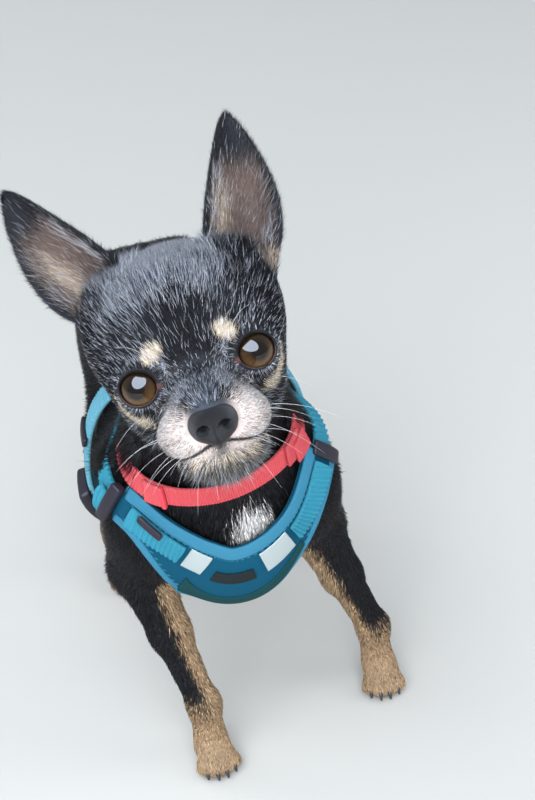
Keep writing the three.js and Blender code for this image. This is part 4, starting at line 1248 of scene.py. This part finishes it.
# %% Nose
NOSE_BLACK, NOSTRIL_SHADE = [0.008, 0.0075, 0.009], np.array([0.003, 0.002, 0.003])
ball = bmesh.new()
bmesh.ops.create_icosphere(ball, subdivisions=6, radius=1)
mesh = vertex_mesh(ball, "nose")
rays = coordinates(mesh)
centre = np.array([0, NOSE_TIP + 8, NOSE_HEIGHT - 0.5])
leather = settle(nose_field, rays * [8.5, 7, 7.5] + centre, 0, 8)
nostril = 0
for side in (1, -1):
    bowl = np.linalg.norm((leather - [side * 4.4, NOSE_TIP + 1.0, NOSE_HEIGHT - 0.9]) / [2.8, 4.4, 2.3],
                          axis=1)
    slit_line = taper((side * 5.5, NOSE_TIP + 3.0, NOSE_HEIGHT - 1.9), 0,
                      (side * 8.6, NOSE_TIP + 6.5, NOSE_HEIGHT - 2.6), 0)
    slit = slit_line(leather) / 1.15
    nostril = np.maximum(nostril, np.maximum(1 - ramp(bowl, 0.45, 1.1), 0.55 * (1 - ramp(slit, 0.3, 1.1))))
middle = np.exp(-((leather[:, 0] / 0.55) ** 2)) * ramp(NOSE_HEIGHT + 1.5 - leather[:, 2], 0, 3)
middle = middle * (leather[:, 1] < NOSE_TIP + 6)
normals = slope(nose_field, leather)
leather = leather - normals * (0.5 * middle)[:, None] + np.outer(nostril, [0, 3.0, 0.5])
move_vertices(mesh, in_row(from_head(leather)))
# The nostrils are painted darker than the leather, as shade in their hollows.
write_colour(mesh, "leather",
             paint(np.tile(NOSE_BLACK, (len(leather), 1)), np.clip(nostril * 1.2, 0, 1), NOSTRIL_SHADE))
rhinarium = Finish("nose leather", Roughness=0.31, Specular_IOR_Level=0.42)
rhinarium.feed(Base_Color=rhinarium.painted("leather"))
pebbles = rhinarium.node("ShaderNodeTexVoronoi", {"feature": "SMOOTH_F1"}, {"Scale": 1500.0})["Distance"]
rhinarium.bump(pebbles, 0.0004, 0.7)
new_object("nose", mesh, rhinarium, "nose", slot="nose")
print("nose", len(mesh.vertices), "vertices")


# %% Tubes for whiskers, claws and stitches
def tubes(name, lines, radii, sides, finish, slot):
    """One mesh of closed tapered tubes: lines is (tubes, points, 3), radii (tubes, points), in mm."""
    lines, radii = np.asarray(lines, float), np.asarray(radii, float)
    count, points, _ = lines.shape
    tangent = unit(np.gradient(lines, axis=1))
    first = unit(np.cross(tangent, np.where(np.abs(tangent[..., 2:]) > 0.9, [1.0, 0, 0], [0, 0, 1.0])))
    second = np.cross(tangent, first)
    turn = np.arange(sides) * 2 * np.pi / sides
    spokes = first[:, :, None] * np.cos(turn)[:, None] + second[:, :, None] * np.sin(turn)[:, None]
    places = (lines[:, :, None] + radii[:, :, None, None] * spokes).reshape(-1, 3)
    i, j, k = np.meshgrid(np.arange(count), np.arange(points - 1), np.arange(sides), indexing="ij")
    at = lambda j, k: ((i * points + j) * sides + k % sides).ravel()
    walls = np.concatenate([np.stack([at(j, k), at(j, k + 1), at(j + 1, k + 1)], 1),
                            np.stack([at(j, k), at(j + 1, k + 1), at(j + 1, k)], 1)])
    fan = np.arange(1, sides - 1)
    starts = (np.arange(count) * points * sides)[:, None]
    ends = starts + (points - 1) * sides
    cap = np.concatenate([np.stack([starts + 0 * fan, starts + fan + 1, starts + fan], 2).reshape(-1, 3),
                          np.stack([ends + 0 * fan, ends + fan, ends + fan + 1], 2).reshape(-1, 3)])
    shades, uv = np.ones((len(places), 3)), np.zeros((len(places), 2)) + 0.5
    mesh = fast_mesh(name, in_row(places), np.concatenate([walls, cap]), shades, uv)
    mesh.shade_smooth()
    return new_object(name, mesh, finish, slot=slot)


def sweep_hairs(roots, ways, lengths, drop, points):
    """Curved lines from roots along ways, bending by drop; all in one frame."""
    t = np.linspace(0, 1, points)[None, :, None]
    reach = np.asarray(lengths, float)[:, None, None]
    return roots[:, None] + unit(ways)[:, None] * reach * t + np.asarray(drop, float) * reach * t**2


WHISKER_ROWS = ((-20, 0), (-24, 1), (-27.5, 2))
LONE_WHISKERS = (((16, -34, 15), (0.5, -0.5, 1), 12), ((19, -33, 14), (0.8, -0.5, 1), 15),
                 ((30, -23, -14), (1, 0.1, -0.3), 15), ((6, -50, -38), (0.2, -0.4, -1), 9),
                 ((12, -44, -38), (0.5, -0.1, -1), 13))
WHISKER_POINTS, WHISKER_ROOT, WHISKER_TIP = 9, 0.085, 0.02
draw = np.random.default_rng(5)
roots, ways, lengths = [], [], []
for side in (1, -1):
    for row, (height, back) in enumerate(WHISKER_ROWS):
        for step in range(3):
            roots.append((side * (12.5 + 3.4 * step), -56 + 6 * step + back, height + draw.normal(0, 0.6)))
            ways.append((side * (1 + 0.1 * step), 0.35 * step - 0.2 + draw.normal(0, 0.2),
                         -0.1 - 0.15 * row + draw.normal(0, 0.2)))
            lengths.append(draw.uniform(7, 12) + 8 * step * draw.uniform(0.5, 1.2))
    for place, way, size in LONE_WHISKERS:
        roots.append((side * place[0], place[1], place[2]))
        ways.append((side * way[0], way[1], way[2]))
        lengths.append(size)
roots = settle(head_field, np.array(roots, float), -0.9, 6)
lines = from_head(sweep_hairs(roots, np.array(ways, float), lengths, (0, 0.1, -0.35), WHISKER_POINTS))
whisker = Finish("whiskers", Roughness=0.35, Base_Color=(0.7, 0.71, 0.73, 1))
taper_down = np.linspace(WHISKER_ROOT, WHISKER_TIP, WHISKER_POINTS)
tubes("whiskers", lines, np.tile(taper_down, (len(lines), 1)), 4, whisker, "coat")
print("whiskers", len(lines))

# %% Claws
CLAW_ROOT, CLAW_TAPER = 1.6, 1.1
claw_lines, claw_radii = [], []
t = np.linspace(0, 1, 9)
for name in PAWS:
    for across, tip in TOES:
        bends = ((across * 9, tip + 0.2, 6.4), (across * 9.4, tip - 4.2, 5.6),
                 (across * 9.6, tip - 5.8, 2.2))
        start, knee, point = (in_paw(name, *place) for place in bends)
        u = t[:, None]
        claw_lines.append(start * (1 - u) ** 2 + 2 * knee * u * (1 - u) + point * u**2)
        claw_radii.append(CLAW_ROOT - CLAW_TAPER * t ** 1.6)
horn = Finish("claws", Roughness=0.35, Base_Color=(0.03, 0.026, 0.024, 1))
tubes("claws", claw_lines, claw_radii, 10, horn, "claw")
print("claws", len(claw_lines))

# %% [markdown]
# ## Collar and harness
# Everything worn lies on the body, so it is built on it: a guide curve says where a strap runs, each place
# on the strap is settled on the body's field, and its height is added along the slope. Modelling flat
# straps and wrapping them with a shrinkwrap would stretch the weave. The ribs of the webbing are real
# ridges, because at this size they show at the edges of the straps.

# %% Guides and the lay of a strap
STRAP_LIFT, GAP = 0.8, 0.3


def guide(knots, closed=False):
    """A centripetal curve through the knots, as a function of a fraction that counts them evenly."""
    knots = np.array(knots, float)
    n = len(knots)
    ends = knots if closed else np.vstack([2 * knots[0] - knots[1], knots, 2 * knots[-1] - knots[-2]])

    def at(t):
        spans = n if closed else n - 1
        place = np.asarray(t, float) * spans
        place = place % n if closed else np.clip(place, 0, spans - 1e-9)
        index = place.astype(int)
        w = (place - index)[:, None]
        a, b, c, d = (ends[(index + k) % n] if closed else ends[index + k + 1] for k in (-1, 0, 1, 2))
        gaps = [np.maximum(np.linalg.norm(q - p, axis=1, keepdims=True), 1e-9) ** 0.5
                for p, q in ((a, b), (b, c), (c, d))]
        start = ((b - a) / gaps[0] - (c - a) / (gaps[0] + gaps[1]) + (c - b) / gaps[1]) * gaps[1]
        stop = ((c - b) / gaps[1] - (d - b) / (gaps[1] + gaps[2]) + (d - c) / gaps[2]) * gaps[1]
        return b + start * w + (3 * (c - b) - 2 * start - stop) * w**2 + (2 * (b - c) + start + stop) * w**3

    at.length = np.linalg.norm(np.diff(at(np.linspace(0, 1 - 1e-6, 400)), axis=0), axis=1).sum()
    return at


def lay_grid(line, t, offsets, lift):
    """Feet and outward directions on the body for fractions t (n) and offsets across the guide (n, m)."""
    lift = lift(t) if callable(lift) else np.full(len(t), float(lift))
    middle = settle(wear_field, line(t), lift, 4)
    tangent = line(np.minimum(t + 1e-4, 1)) - line(t - 1e-4)
    across = unit(np.cross(slope(wear_field, middle), tangent))
    spread = middle[:, None] + across[:, None] * offsets[:, :, None]
    foot = settle(wear_field, spread.reshape(-1, 3), np.repeat(lift, offsets.shape[1]), 4)
    up = slope(wear_field, foot)
    return foot.reshape(*offsets.shape, 3), up.reshape(*offsets.shape, 3)


def lay(line, t, offset, height, lift=STRAP_LIFT):
    """Places at a fraction along a guide, an offset across it and a height over the body, in millimetres."""
    t = np.asarray(t, float)
    foot, up = lay_grid(line, t, np.broadcast_to(offset, t.shape)[:, None], lift)
    return foot[:, 0] + up[:, 0] * np.broadcast_to(height, t.shape)[:, None]


HOOP_KNOTS = 24


def hoop(centre, normal, radius, nape=0.0):
    side = unit(np.cross([0, 1, 0], normal))
    rise = np.cross(normal, side)
    turn = np.arange(HOOP_KNOTS)[:, None] / HOOP_KNOTS * 2 * np.pi
    ring = centre + side * radius * np.sin(turn) + rise * radius * np.cos(turn)
    ring[:, 2] += nape * np.maximum(np.cos(turn[:, 0]), 0) ** 1.5
    return guide(ring, closed=True)


collar_line = hoop(np.array([2, -92, 189.0]), unit(np.array([-0.09, -0.13, 1])), 40, nape=18)
GIRTH_Y, GIRTH_THICK = -12, 2.2
girth_line = hoop(np.array([0, GIRTH_Y, 150.0]), unit(np.array([0, 1, 0.08])), 54)


def girth_lift(t):
    """The strap is slack on the right side, where its buckle is."""
    return STRAP_LIFT + 7 * np.exp(-(((t - 0.84) / 0.07) ** 2))


LOOP_LEFT = [(12, -36, 203), (33, -46, 193), (43, -65, 181), (38, -92, 166), (25, -109, 148)]
LOOP_RIGHT = [(-12, -36, 203), (-34, -45, 192), (-47, -63, 179), (-38, -92, 165), (-20, -110, 147)]
loop_line = guide([*LOOP_RIGHT, (-6, -115, 139), *LOOP_LEFT[::-1]])
print("collar", round(collar_line.length), "mm, girth", round(girth_line.length), "mm, loop",
      round(loop_line.length), "mm")


# %% A strap of woven webbing or of padded cloth
def rolled_sheet(name, rows, columns, place):
    """A closed form from a grid: u runs round its section and v along it."""
    form = bmesh.new()
    form.loops.layers.uv.new("OFBake")
    bmesh.ops.create_grid(form, x_segments=columns, y_segments=rows, size=0.5, calc_uvs=True)
    grid = np.clip(places_of(form) + 0.5, 0, 1)
    put(form, in_row(place(grid[:, 0], grid[:, 1])))
    bmesh.ops.remove_doubles(form, verts=form.verts, dist=2e-6)
    open_edges = [edge for edge in form.edges if edge.is_boundary]
    if open_edges:
        bmesh.ops.holes_fill(form, edges=open_edges)
    return vertex_mesh(form, name)


def cloth(name, line, start, stop, lower, upper, thickness, finish, slot, replaced=(), lift=STRAP_LIFT,
          base=0.0, pitch=0.0, ridge=0.0, slant=0.0, square=10.0, step=0.5, columns=36):
    """A strap over part of a guide. Its edges are numbers, or functions of the fraction of its length."""
    length = line.length * (stop - start)
    rows = max(6, int(length / (step * 1)))
    edge_at = lambda edge, v: edge(v) if callable(edge) else np.full(len(v), float(edge))

    coarse = np.linspace(0, 1, max(8, int(length / 1.6)))
    low, high = edge_at(lower, coarse), edge_at(upper, coarse)
    lanes = np.linspace(-1, 1, max(7, int(np.max(low + high) / 1.8)))
    offsets = (high + low)[:, None] / 2 * lanes + ((high - low) / 2)[:, None]
    foot, up = lay_grid(line, start + (stop - start) * coarse, offsets, lift)

    def blend(grid, i, j, a, b):
        first = grid[i, j] * (1 - a) + grid[i + 1, j] * a
        second = grid[i, j + 1] * (1 - a) + grid[i + 1, j + 1] * a
        return first * (1 - b) + second * b

    def place(u, v):
        around = np.where(u < 0.5, 4 * u - 1, 3 - 4 * u)
        s = np.sin(around * np.pi / 2)
        full = np.maximum(1 - np.abs(s) ** square, 0) ** (1 / square)
        row, lane = v * (len(coarse) - 1), (s + 1) / 2 * (len(lanes) - 1)
        i, j = np.minimum(row.astype(int), len(coarse) - 2), np.minimum(lane.astype(int), len(lanes) - 2)
        where = i, j, (row - i)[:, None], (lane - j)[:, None]
        offset = s * (edge_at(lower, v) + edge_at(upper, v)) / 2
        rib = ridge * np.sin((v * length + offset * slant) * 2 * np.pi / pitch) * full if pitch else 0
        height = base + thickness * (0.5 + np.where(u < 0.5, -0.5, 0.5) * full) + np.where(u < 0.5, 0, rib)
        return blend(foot, *where) + unit(blend(up, *where)) * height[:, None]

    return new_object(name, rolled_sheet(name, rows, columns, place), finish, *replaced, slot=slot)


THREAD_LENGTH, THREAD_GAP = 1.7, 1.1
THREAD_STEPS, THREAD_RADII = (-1, -0.5, 0, 0.5, 1), [0.08, 0.2, 0.22, 0.2, 0.08]


def stitches(name, line, start, stop, offset, height, finish, lift=STRAP_LIFT):
    """A row of short threads along a guide; offset is a number or a function of the fraction."""
    count = max(2, int(line.length * (stop - start) / (THREAD_LENGTH + THREAD_GAP)))
    middle = (np.arange(count) + 0.5) / count
    half = THREAD_LENGTH / 2 / line.length
    t = start + (stop - start) * middle
    off = offset(middle) if callable(offset) else np.full(count, float(offset))
    ends = [lay(line, t + half * k, off, height + 0.12 * (1 - k * k), lift) for k in THREAD_STEPS]
    return tubes(name, np.stack(ends, 1), np.tile(THREAD_RADII, (count, 1)), 5, finish, "binding")


def weave(name, colour, dark, scale):
    """Woven cloth: a fine noise in the piece's own space varies the colour and raises a bump."""
    finish = Finish(name, Roughness=0.8, Specular_IOR_Level=0.08)
    grain = finish.node("ShaderNodeTexNoise", {}, {"Scale": scale, "Detail": 4.0, "Roughness": 0.65})["Fac"]
    finish.feed(Base_Color=finish.mix(grain, (*dark, 1), (*colour, 1)))
    finish.bump(grain, 0.0005, 0.6)
    return finish


def plain(name, roughness, colour, **constants):
    return Finish(name, Roughness=roughness, **constants, Base_Color=(*colour, 1))


coral = weave("coral webbing", (0.74, 0.14, 0.165), (0.5, 0.05, 0.065), 900.0)
teal = weave("teal webbing", (0.07, 0.42, 0.58), (0.012, 0.13, 0.21), 900.0)
sky = weave("light webbing", (0.2, 0.5, 0.64), (0.1, 0.34, 0.47), 900.0)
piping = weave("piping", (0.06, 0.27, 0.42), (0.025, 0.15, 0.26), 1400.0)
padding = weave("padded mesh", (0.006, 0.105, 0.19), (0.002, 0.05, 0.1), 700.0)
# The cloth of the lower flap is dark as painted shade.
shaded_flap_cloth = weave("lower flap painted shade", (0.012, 0.075, 0.085), (0.006, 0.04, 0.05), 900.0)
thread = plain("thread", 0.6, (0.05, 0.25, 0.36), Specular_IOR_Level=0.1)
coral_thread = plain("coral thread", 0.6, (0.75, 0.1, 0.12), Specular_IOR_Level=0.1)
moulded = plain("moulded plastic", 0.42, (0.024, 0.022, 0.032), Specular_IOR_Level=0.2)
coral_plastic = plain("coral plastic", 0.45, (0.62, 0.06, 0.085), Specular_IOR_Level=0.2)
silver_tape = plain("reflective tape", 0.34, (0.42, 0.5, 0.52), Metallic=0.25)
honeycomb = silver_tape.node("ShaderNodeTexVoronoi", {"feature": "DISTANCE_TO_EDGE"},
                             {"Scale": 900.0})["Distance"]
silver_tape.bump(honeycomb, 0.0002, 0.5)
label_cloth = weave("label", (0.022, 0.03, 0.034), (0.012, 0.017, 0.02), 1600.0)
steel = plain("steel", 0.22, (0.62, 0.63, 0.65), Metallic=1.0)
print("finishes", len(bpy.data.materials))

# %% Collar
COLLAR_LIFT, COLLAR_THICK, COLLAR_HALF = 1.1, 1.8, 5.5
cloth("collar", collar_line, 0, 1, COLLAR_HALF, COLLAR_HALF, COLLAR_THICK, coral, "collar_web", ["collar"],
      lift=COLLAR_LIFT, pitch=1.7, ridge=0.26, step=0.24, columns=28)
for row, offset in enumerate((-COLLAR_HALF + 1.1, COLLAR_HALF - 1.1)):
    stitches(f"collar_stitch_{row + 1}", collar_line, 0.3, 0.7, offset, COLLAR_THICK + 0.1, coral_thread,
             COLLAR_LIFT)


BLOCK_CUTS, BEVEL_STEPS = 7, 3


def laid_block(name, line, at, size, finish, slot, replaced, lift=STRAP_LIFT, base=0.0, aside=0.0,
               bevel=0.6):
    """A moulded part made flat, then bent on the strap it sits on. size is along, across and high."""
    form = bmesh.new()
    bmesh.ops.create_cube(form, size=1, matrix=Matrix.Diagonal((*size, 1)))
    sharp = [edge for edge in form.edges if len(edge.link_faces) == 2 and edge.calc_face_angle() > 0.8]
    bmesh.ops.bevel(form, geom=sharp, offset=bevel, affect="EDGES", segments=BEVEL_STEPS, profile=0.5,
                    material=-1)
    longest = [edge for edge in form.edges if edge.calc_length() > size[1] / 5]
    bmesh.ops.subdivide_edges(form, edges=longest, cuts=BLOCK_CUTS, use_grid_fill=True)
    split_large_faces(form)
    places = places_of(form)
    t = at + places[:, 0] / line.length
    put(form, in_row(lay(line, t, places[:, 1] + aside, base + size[2] / 2 + places[:, 2], lift)))
    return new_object(name, vertex_mesh(form, name), finish, *replaced, slot=slot)


on_collar = COLLAR_THICK + GAP
cloth("collar_slide", collar_line, 0.676, 0.72, 6, 6, 1.7, coral, "collar_web", ["collar_slide"],
      COLLAR_LIFT, on_collar, pitch=1.7, ridge=0.14, step=0.3)
laid_block("collar_slide_end", collar_line, 0.673, (2.6, 12.8, 2.4), coral_plastic, "collar_plastic", [],
           COLLAR_LIFT, on_collar, bevel=0.7)
cloth("collar_fold", collar_line, 0.285, 0.35, 6.9, 5.4, 2.1, coral, "collar_web", ["collar_buckle"],
      COLLAR_LIFT, on_collar, pitch=1.8, ridge=0.3, slant=0.9, square=4)
cloth("collar_fold_end", collar_line, 0.27, 0.325, 4.2, 7.2, 1.9, coral, "collar_web", [], COLLAR_LIFT,
      on_collar + 1.7, pitch=1.8, ridge=0.3, slant=-0.6, square=3)
print("collar made")

# %% Harness webbing
loop_length = loop_line.length
PLATE_TURN, PLATE_THICK = 0.27, 3.0
WEB_HALF, WEB_THICK, GIRTH_HALF, PAD_HALF, PAD_THICK = 5.25, 2.2, 7.5, 11, 2.4
gap_turn = GAP / loop_length
ribs = {"pitch": 2.0, "ridge": 0.5, "slant": 0.15, "step": 0.26, "columns": 28}


def webbing(name, start, stop, **more):
    cloth(name, loop_line, start, stop, WEB_HALF, WEB_HALF, WEB_THICK, teal, "harness_web", [name], **more,
          **ribs)


webbing("neck_strap_right", 0, PLATE_TURN - gap_turn)
webbing("neck_strap_left", 1 - PLATE_TURN + gap_turn, 1)
cloth("girth_strap", girth_line, 0, 1, GIRTH_HALF, GIRTH_HALF, GIRTH_THICK, sky, "harness_web",
      ["girth_strap"], girth_lift, **{**ribs, "slant": 0, "step": 0.38})


def bib(v):
    return np.sin(np.pi * np.clip(v, 0, 1) ** 0.95) ** 1.5


def plate_lower(v):
    return 8 + 40 * bib(v) ** (1.8 + 1.2 * ramp(v, 0.4, 0.8))


def plate_upper(v):
    return 11 + 2.5 * bib(v)


middle = settle(wear_field, loop_line(np.array([0.5])), STRAP_LIFT)
tip = settle(wear_field, middle + [0, 6, -plate_lower(np.array([0.5]))[0]], STRAP_LIFT)[0]
STERNUM_HALF, STERNUM_GAP = 8, 1.4
sternum_line = guide([(-6, tip[1] + 6, tip[2] - 6), (0, GIRTH_Y - GIRTH_HALF - STERNUM_GAP, BRISKET)])
cloth("sternum_strap", sternum_line, 0, 1, STERNUM_HALF, STERNUM_HALF, WEB_THICK, padding, "harness_web",
      ["sternum_strap"], step=1.0)

# %% Chest plate and pad
plate = cloth("chest_plate", loop_line, PLATE_TURN, 1 - PLATE_TURN, plate_lower, plate_upper, PLATE_THICK,
              padding, "harness_mesh", ["chest_plate"], square=7, step=0.9, columns=120)
pad_line = guide([(0, -42, 203), (0, -24.6, 203)])
pad = cloth("withers_pad", pad_line, 0, 1, PAD_HALF, PAD_HALF, PAD_THICK, padding, "harness_mesh",
            ["withers_pad"], square=5, step=0.5, columns=60)
PLATE_SPAN = 1 - 2 * PLATE_TURN


def along_plate(start, stop, lower, upper):
    """Edges on the plate as functions of a fraction of part of it."""
    share = lambda v: (start + (stop - start) * v - PLATE_TURN) / PLATE_SPAN
    return (lambda v: lower(share(v))), (lambda v: upper(share(v)))


TRIM_START, TRIM_STOP = PLATE_TURN + 0.004, 1 - PLATE_TURN - 0.004
low, high = along_plate(TRIM_START, TRIM_STOP, lambda q: -(plate_upper(q) - 5.8),
                        lambda q: plate_upper(q) + 0.9)
cloth("neck_piping", loop_line, TRIM_START, TRIM_STOP, low, high, 1.9, piping, "binding",
      base=PLATE_THICK - 0.75, square=3, step=0.8, columns=32)
low, high = along_plate(TRIM_START, TRIM_STOP, lambda q: plate_lower(q) + 0.8,
                        lambda q: -(plate_lower(q) - 3.2))
cloth("edge_binding", loop_line, TRIM_START, TRIM_STOP, low, high, 1.7, piping, "binding",
      base=PLATE_THICK - 1.0, square=2.6, step=0.8, columns=24)
# The lower flap is a thin sheet over the lower middle of the plate, coloured dark as painted shade.
FLAP_START, FLAP_STOP = 0.4, 0.6
low, high = along_plate(FLAP_START, FLAP_STOP, lambda q: plate_lower(q) - 3.6,
                        lambda q: -(0.45 * plate_lower(q) + 1.5))
cloth("lower_flap", loop_line, FLAP_START, FLAP_STOP, low, high, 0.9, shaded_flap_cloth, "harness_mesh",
      base=PLATE_THICK - 0.2, square=6, step=0.9, columns=40)
for name, offset in (("piping_stitch", lambda v: plate_upper(0.02 + 0.96 * v) - 6.6),
                     ("edge_stitch", lambda v: -plate_lower(0.02 + 0.96 * v) + 4.2)):
    stitches(name, loop_line, PLATE_TURN + 0.01, 1 - PLATE_TURN - 0.01, offset, PLATE_THICK + 0.05, thread)

# %% Webbing, reflectors, label and hardware on the plate
on_plate, on_girth = PLATE_THICK + GAP, GIRTH_THICK + GAP
webbing("plate_web_right", 0.285, 0.372, base=on_plate)
webbing("plate_web_left", 0.6, 0.715, base=on_plate)
for name, start, stop, lower in (("reflector_right", 0.38, 0.425, 7), ("reflector_left", 0.545, 0.59, 8)):
    cloth(name, loop_line, start, stop, lower, 6, 0.6, silver_tape, "reflective", [name], base=on_plate,
          square=14)
cloth("label", loop_line, 0.455, 0.53, 8, -1, 0.7, label_cloth, "label", ["label"], base=on_plate, square=10)
cloth("web_fold", loop_line, 0.2475, 0.263, 11.5, 1.5, 4.0, teal, "harness_web", [], base=WEB_THICK + GAP,
      **{**ribs, "square": 2.5})


def plastic(name, line, at, size, base, bevel, replaced=True, **more):
    laid_block(name, line, at, size, moulded, "plastic", [name] if replaced else [], base=base, bevel=bevel,
               **more)


plastic("slider_right", loop_line, 0.2665, (2.8, 20, 5), on_plate, 0.9)
plastic("slider_left", loop_line, 0.728, (4.0, 16, 2.6), on_plate, 0.9)
plastic("slider_low", loop_line, 0.315, (11, 4.2, 2.4), on_plate + WEB_THICK + GAP, 1.1, aside=4.4)
plastic("girth_buckle", girth_line, 0.8375, (25, 19.4, 6), on_girth, 1.6, lift=girth_lift)
plastic("girth_slider", girth_line, 0.715, (4.4, 19, 2.4), on_girth, 0.9, replaced=False, lift=girth_lift)

# %% Ring on the pad
RING_RADIUS, WIRE_RADIUS, WIRE_SIDES = 7.5, 1.2, 16
ring_at = settle(wear_field, np.array([[0, -33, 205.0]]), STRAP_LIFT + PAD_THICK + 2 * GAP + WIRE_RADIUS)
ring_turn = Vector(slope(wear_field, ring_at)[0]).to_track_quat("Z", "Y").to_matrix()
ring_form = bmesh.new()
profile = [ring_form.verts.new((RING_RADIUS + WIRE_RADIUS * math.cos(a), 0, WIRE_RADIUS * math.sin(a)))
           for a in np.linspace(0, 2 * math.pi, WIRE_SIDES + 1)[:-1]]
profile_edges = [ring_form.edges.new((profile[i], profile[i - 1])) for i in range(WIRE_SIDES)]
bmesh.ops.spin(ring_form, geom=profile + profile_edges, cent=(0, 0, 0), axis=(0, 0, 1), angle=2 * math.pi,
               steps=64, use_merge=True)
for vertex in ring_form.verts:
    vertex.co = (ring_turn @ vertex.co + Vector(ring_at[0] + SHIFT)) * MM
new_object("harness_ring", vertex_mesh(ring_form, "harness_ring"), steel, "harness_ring", slot="steel")
print("harness made")

# %% [markdown]
# ## Fur that hangs over the straps
# The collar's ends go under the fur of the cheeks and neck, and so does the harness at each side of the
# neck. Hair that grows just above a strap and stands steeper and longer hides it, as it does on the dog.
# Cutting the straps short would be simpler, and would leave their ends in the air when seen from the side.

# %% Fur over the straps
def beside(line, start, stop, low, high):
    """1 on the skin between two offsets from a guide, towards the head, over part of its length."""
    t = np.linspace(start, stop, 40)
    middle = settle(wear_field, line(t), STRAP_LIFT)
    across = unit(np.cross(slope(wear_field, middle), line(t + 1e-4) - line(t - 1e-4)))
    across *= np.sign(((HEAD_AT - middle) * across).sum(1, keepdims=True))
    gap = np.linalg.norm(skin_places[:, None] - middle, axis=2)
    nearest = gap.argmin(1)
    offset = ((skin_places - middle[nearest]) * across[nearest]).sum(1)
    within = (nearest > 0) & (nearest < len(t) - 1) & (gap.min(1) < high + 8)
    return ramp(offset, low - 1, low) * (1 - ramp(offset, high, high + 2)) * within


def fur_above(name, line, spans, low, high, count, seed, longer, steeper):
    weight = sum(beside(line, start, stop, low, high) for start, stop in spans)
    grow(name, np.clip(weight, 0, 1) * (1 - ear_amount), count, seed, hair, longer=longer, steeper=steeper)


fur_above("coat_over_collar", collar_line, ((0.14, 0.275), (0.765, 0.92)), 4.5, 16, 14000, 91, 1.8, 0.28)
fur_above("coat_over_harness", loop_line, ((0.06, 0.24),), 4.5, 14, 5000, 92, 2.0, 0.26)
fur_above("coat_over_left_strap", loop_line, ((0.825, 0.95),), 3.5, 12, 2000, 93, 1.5, 0.1)
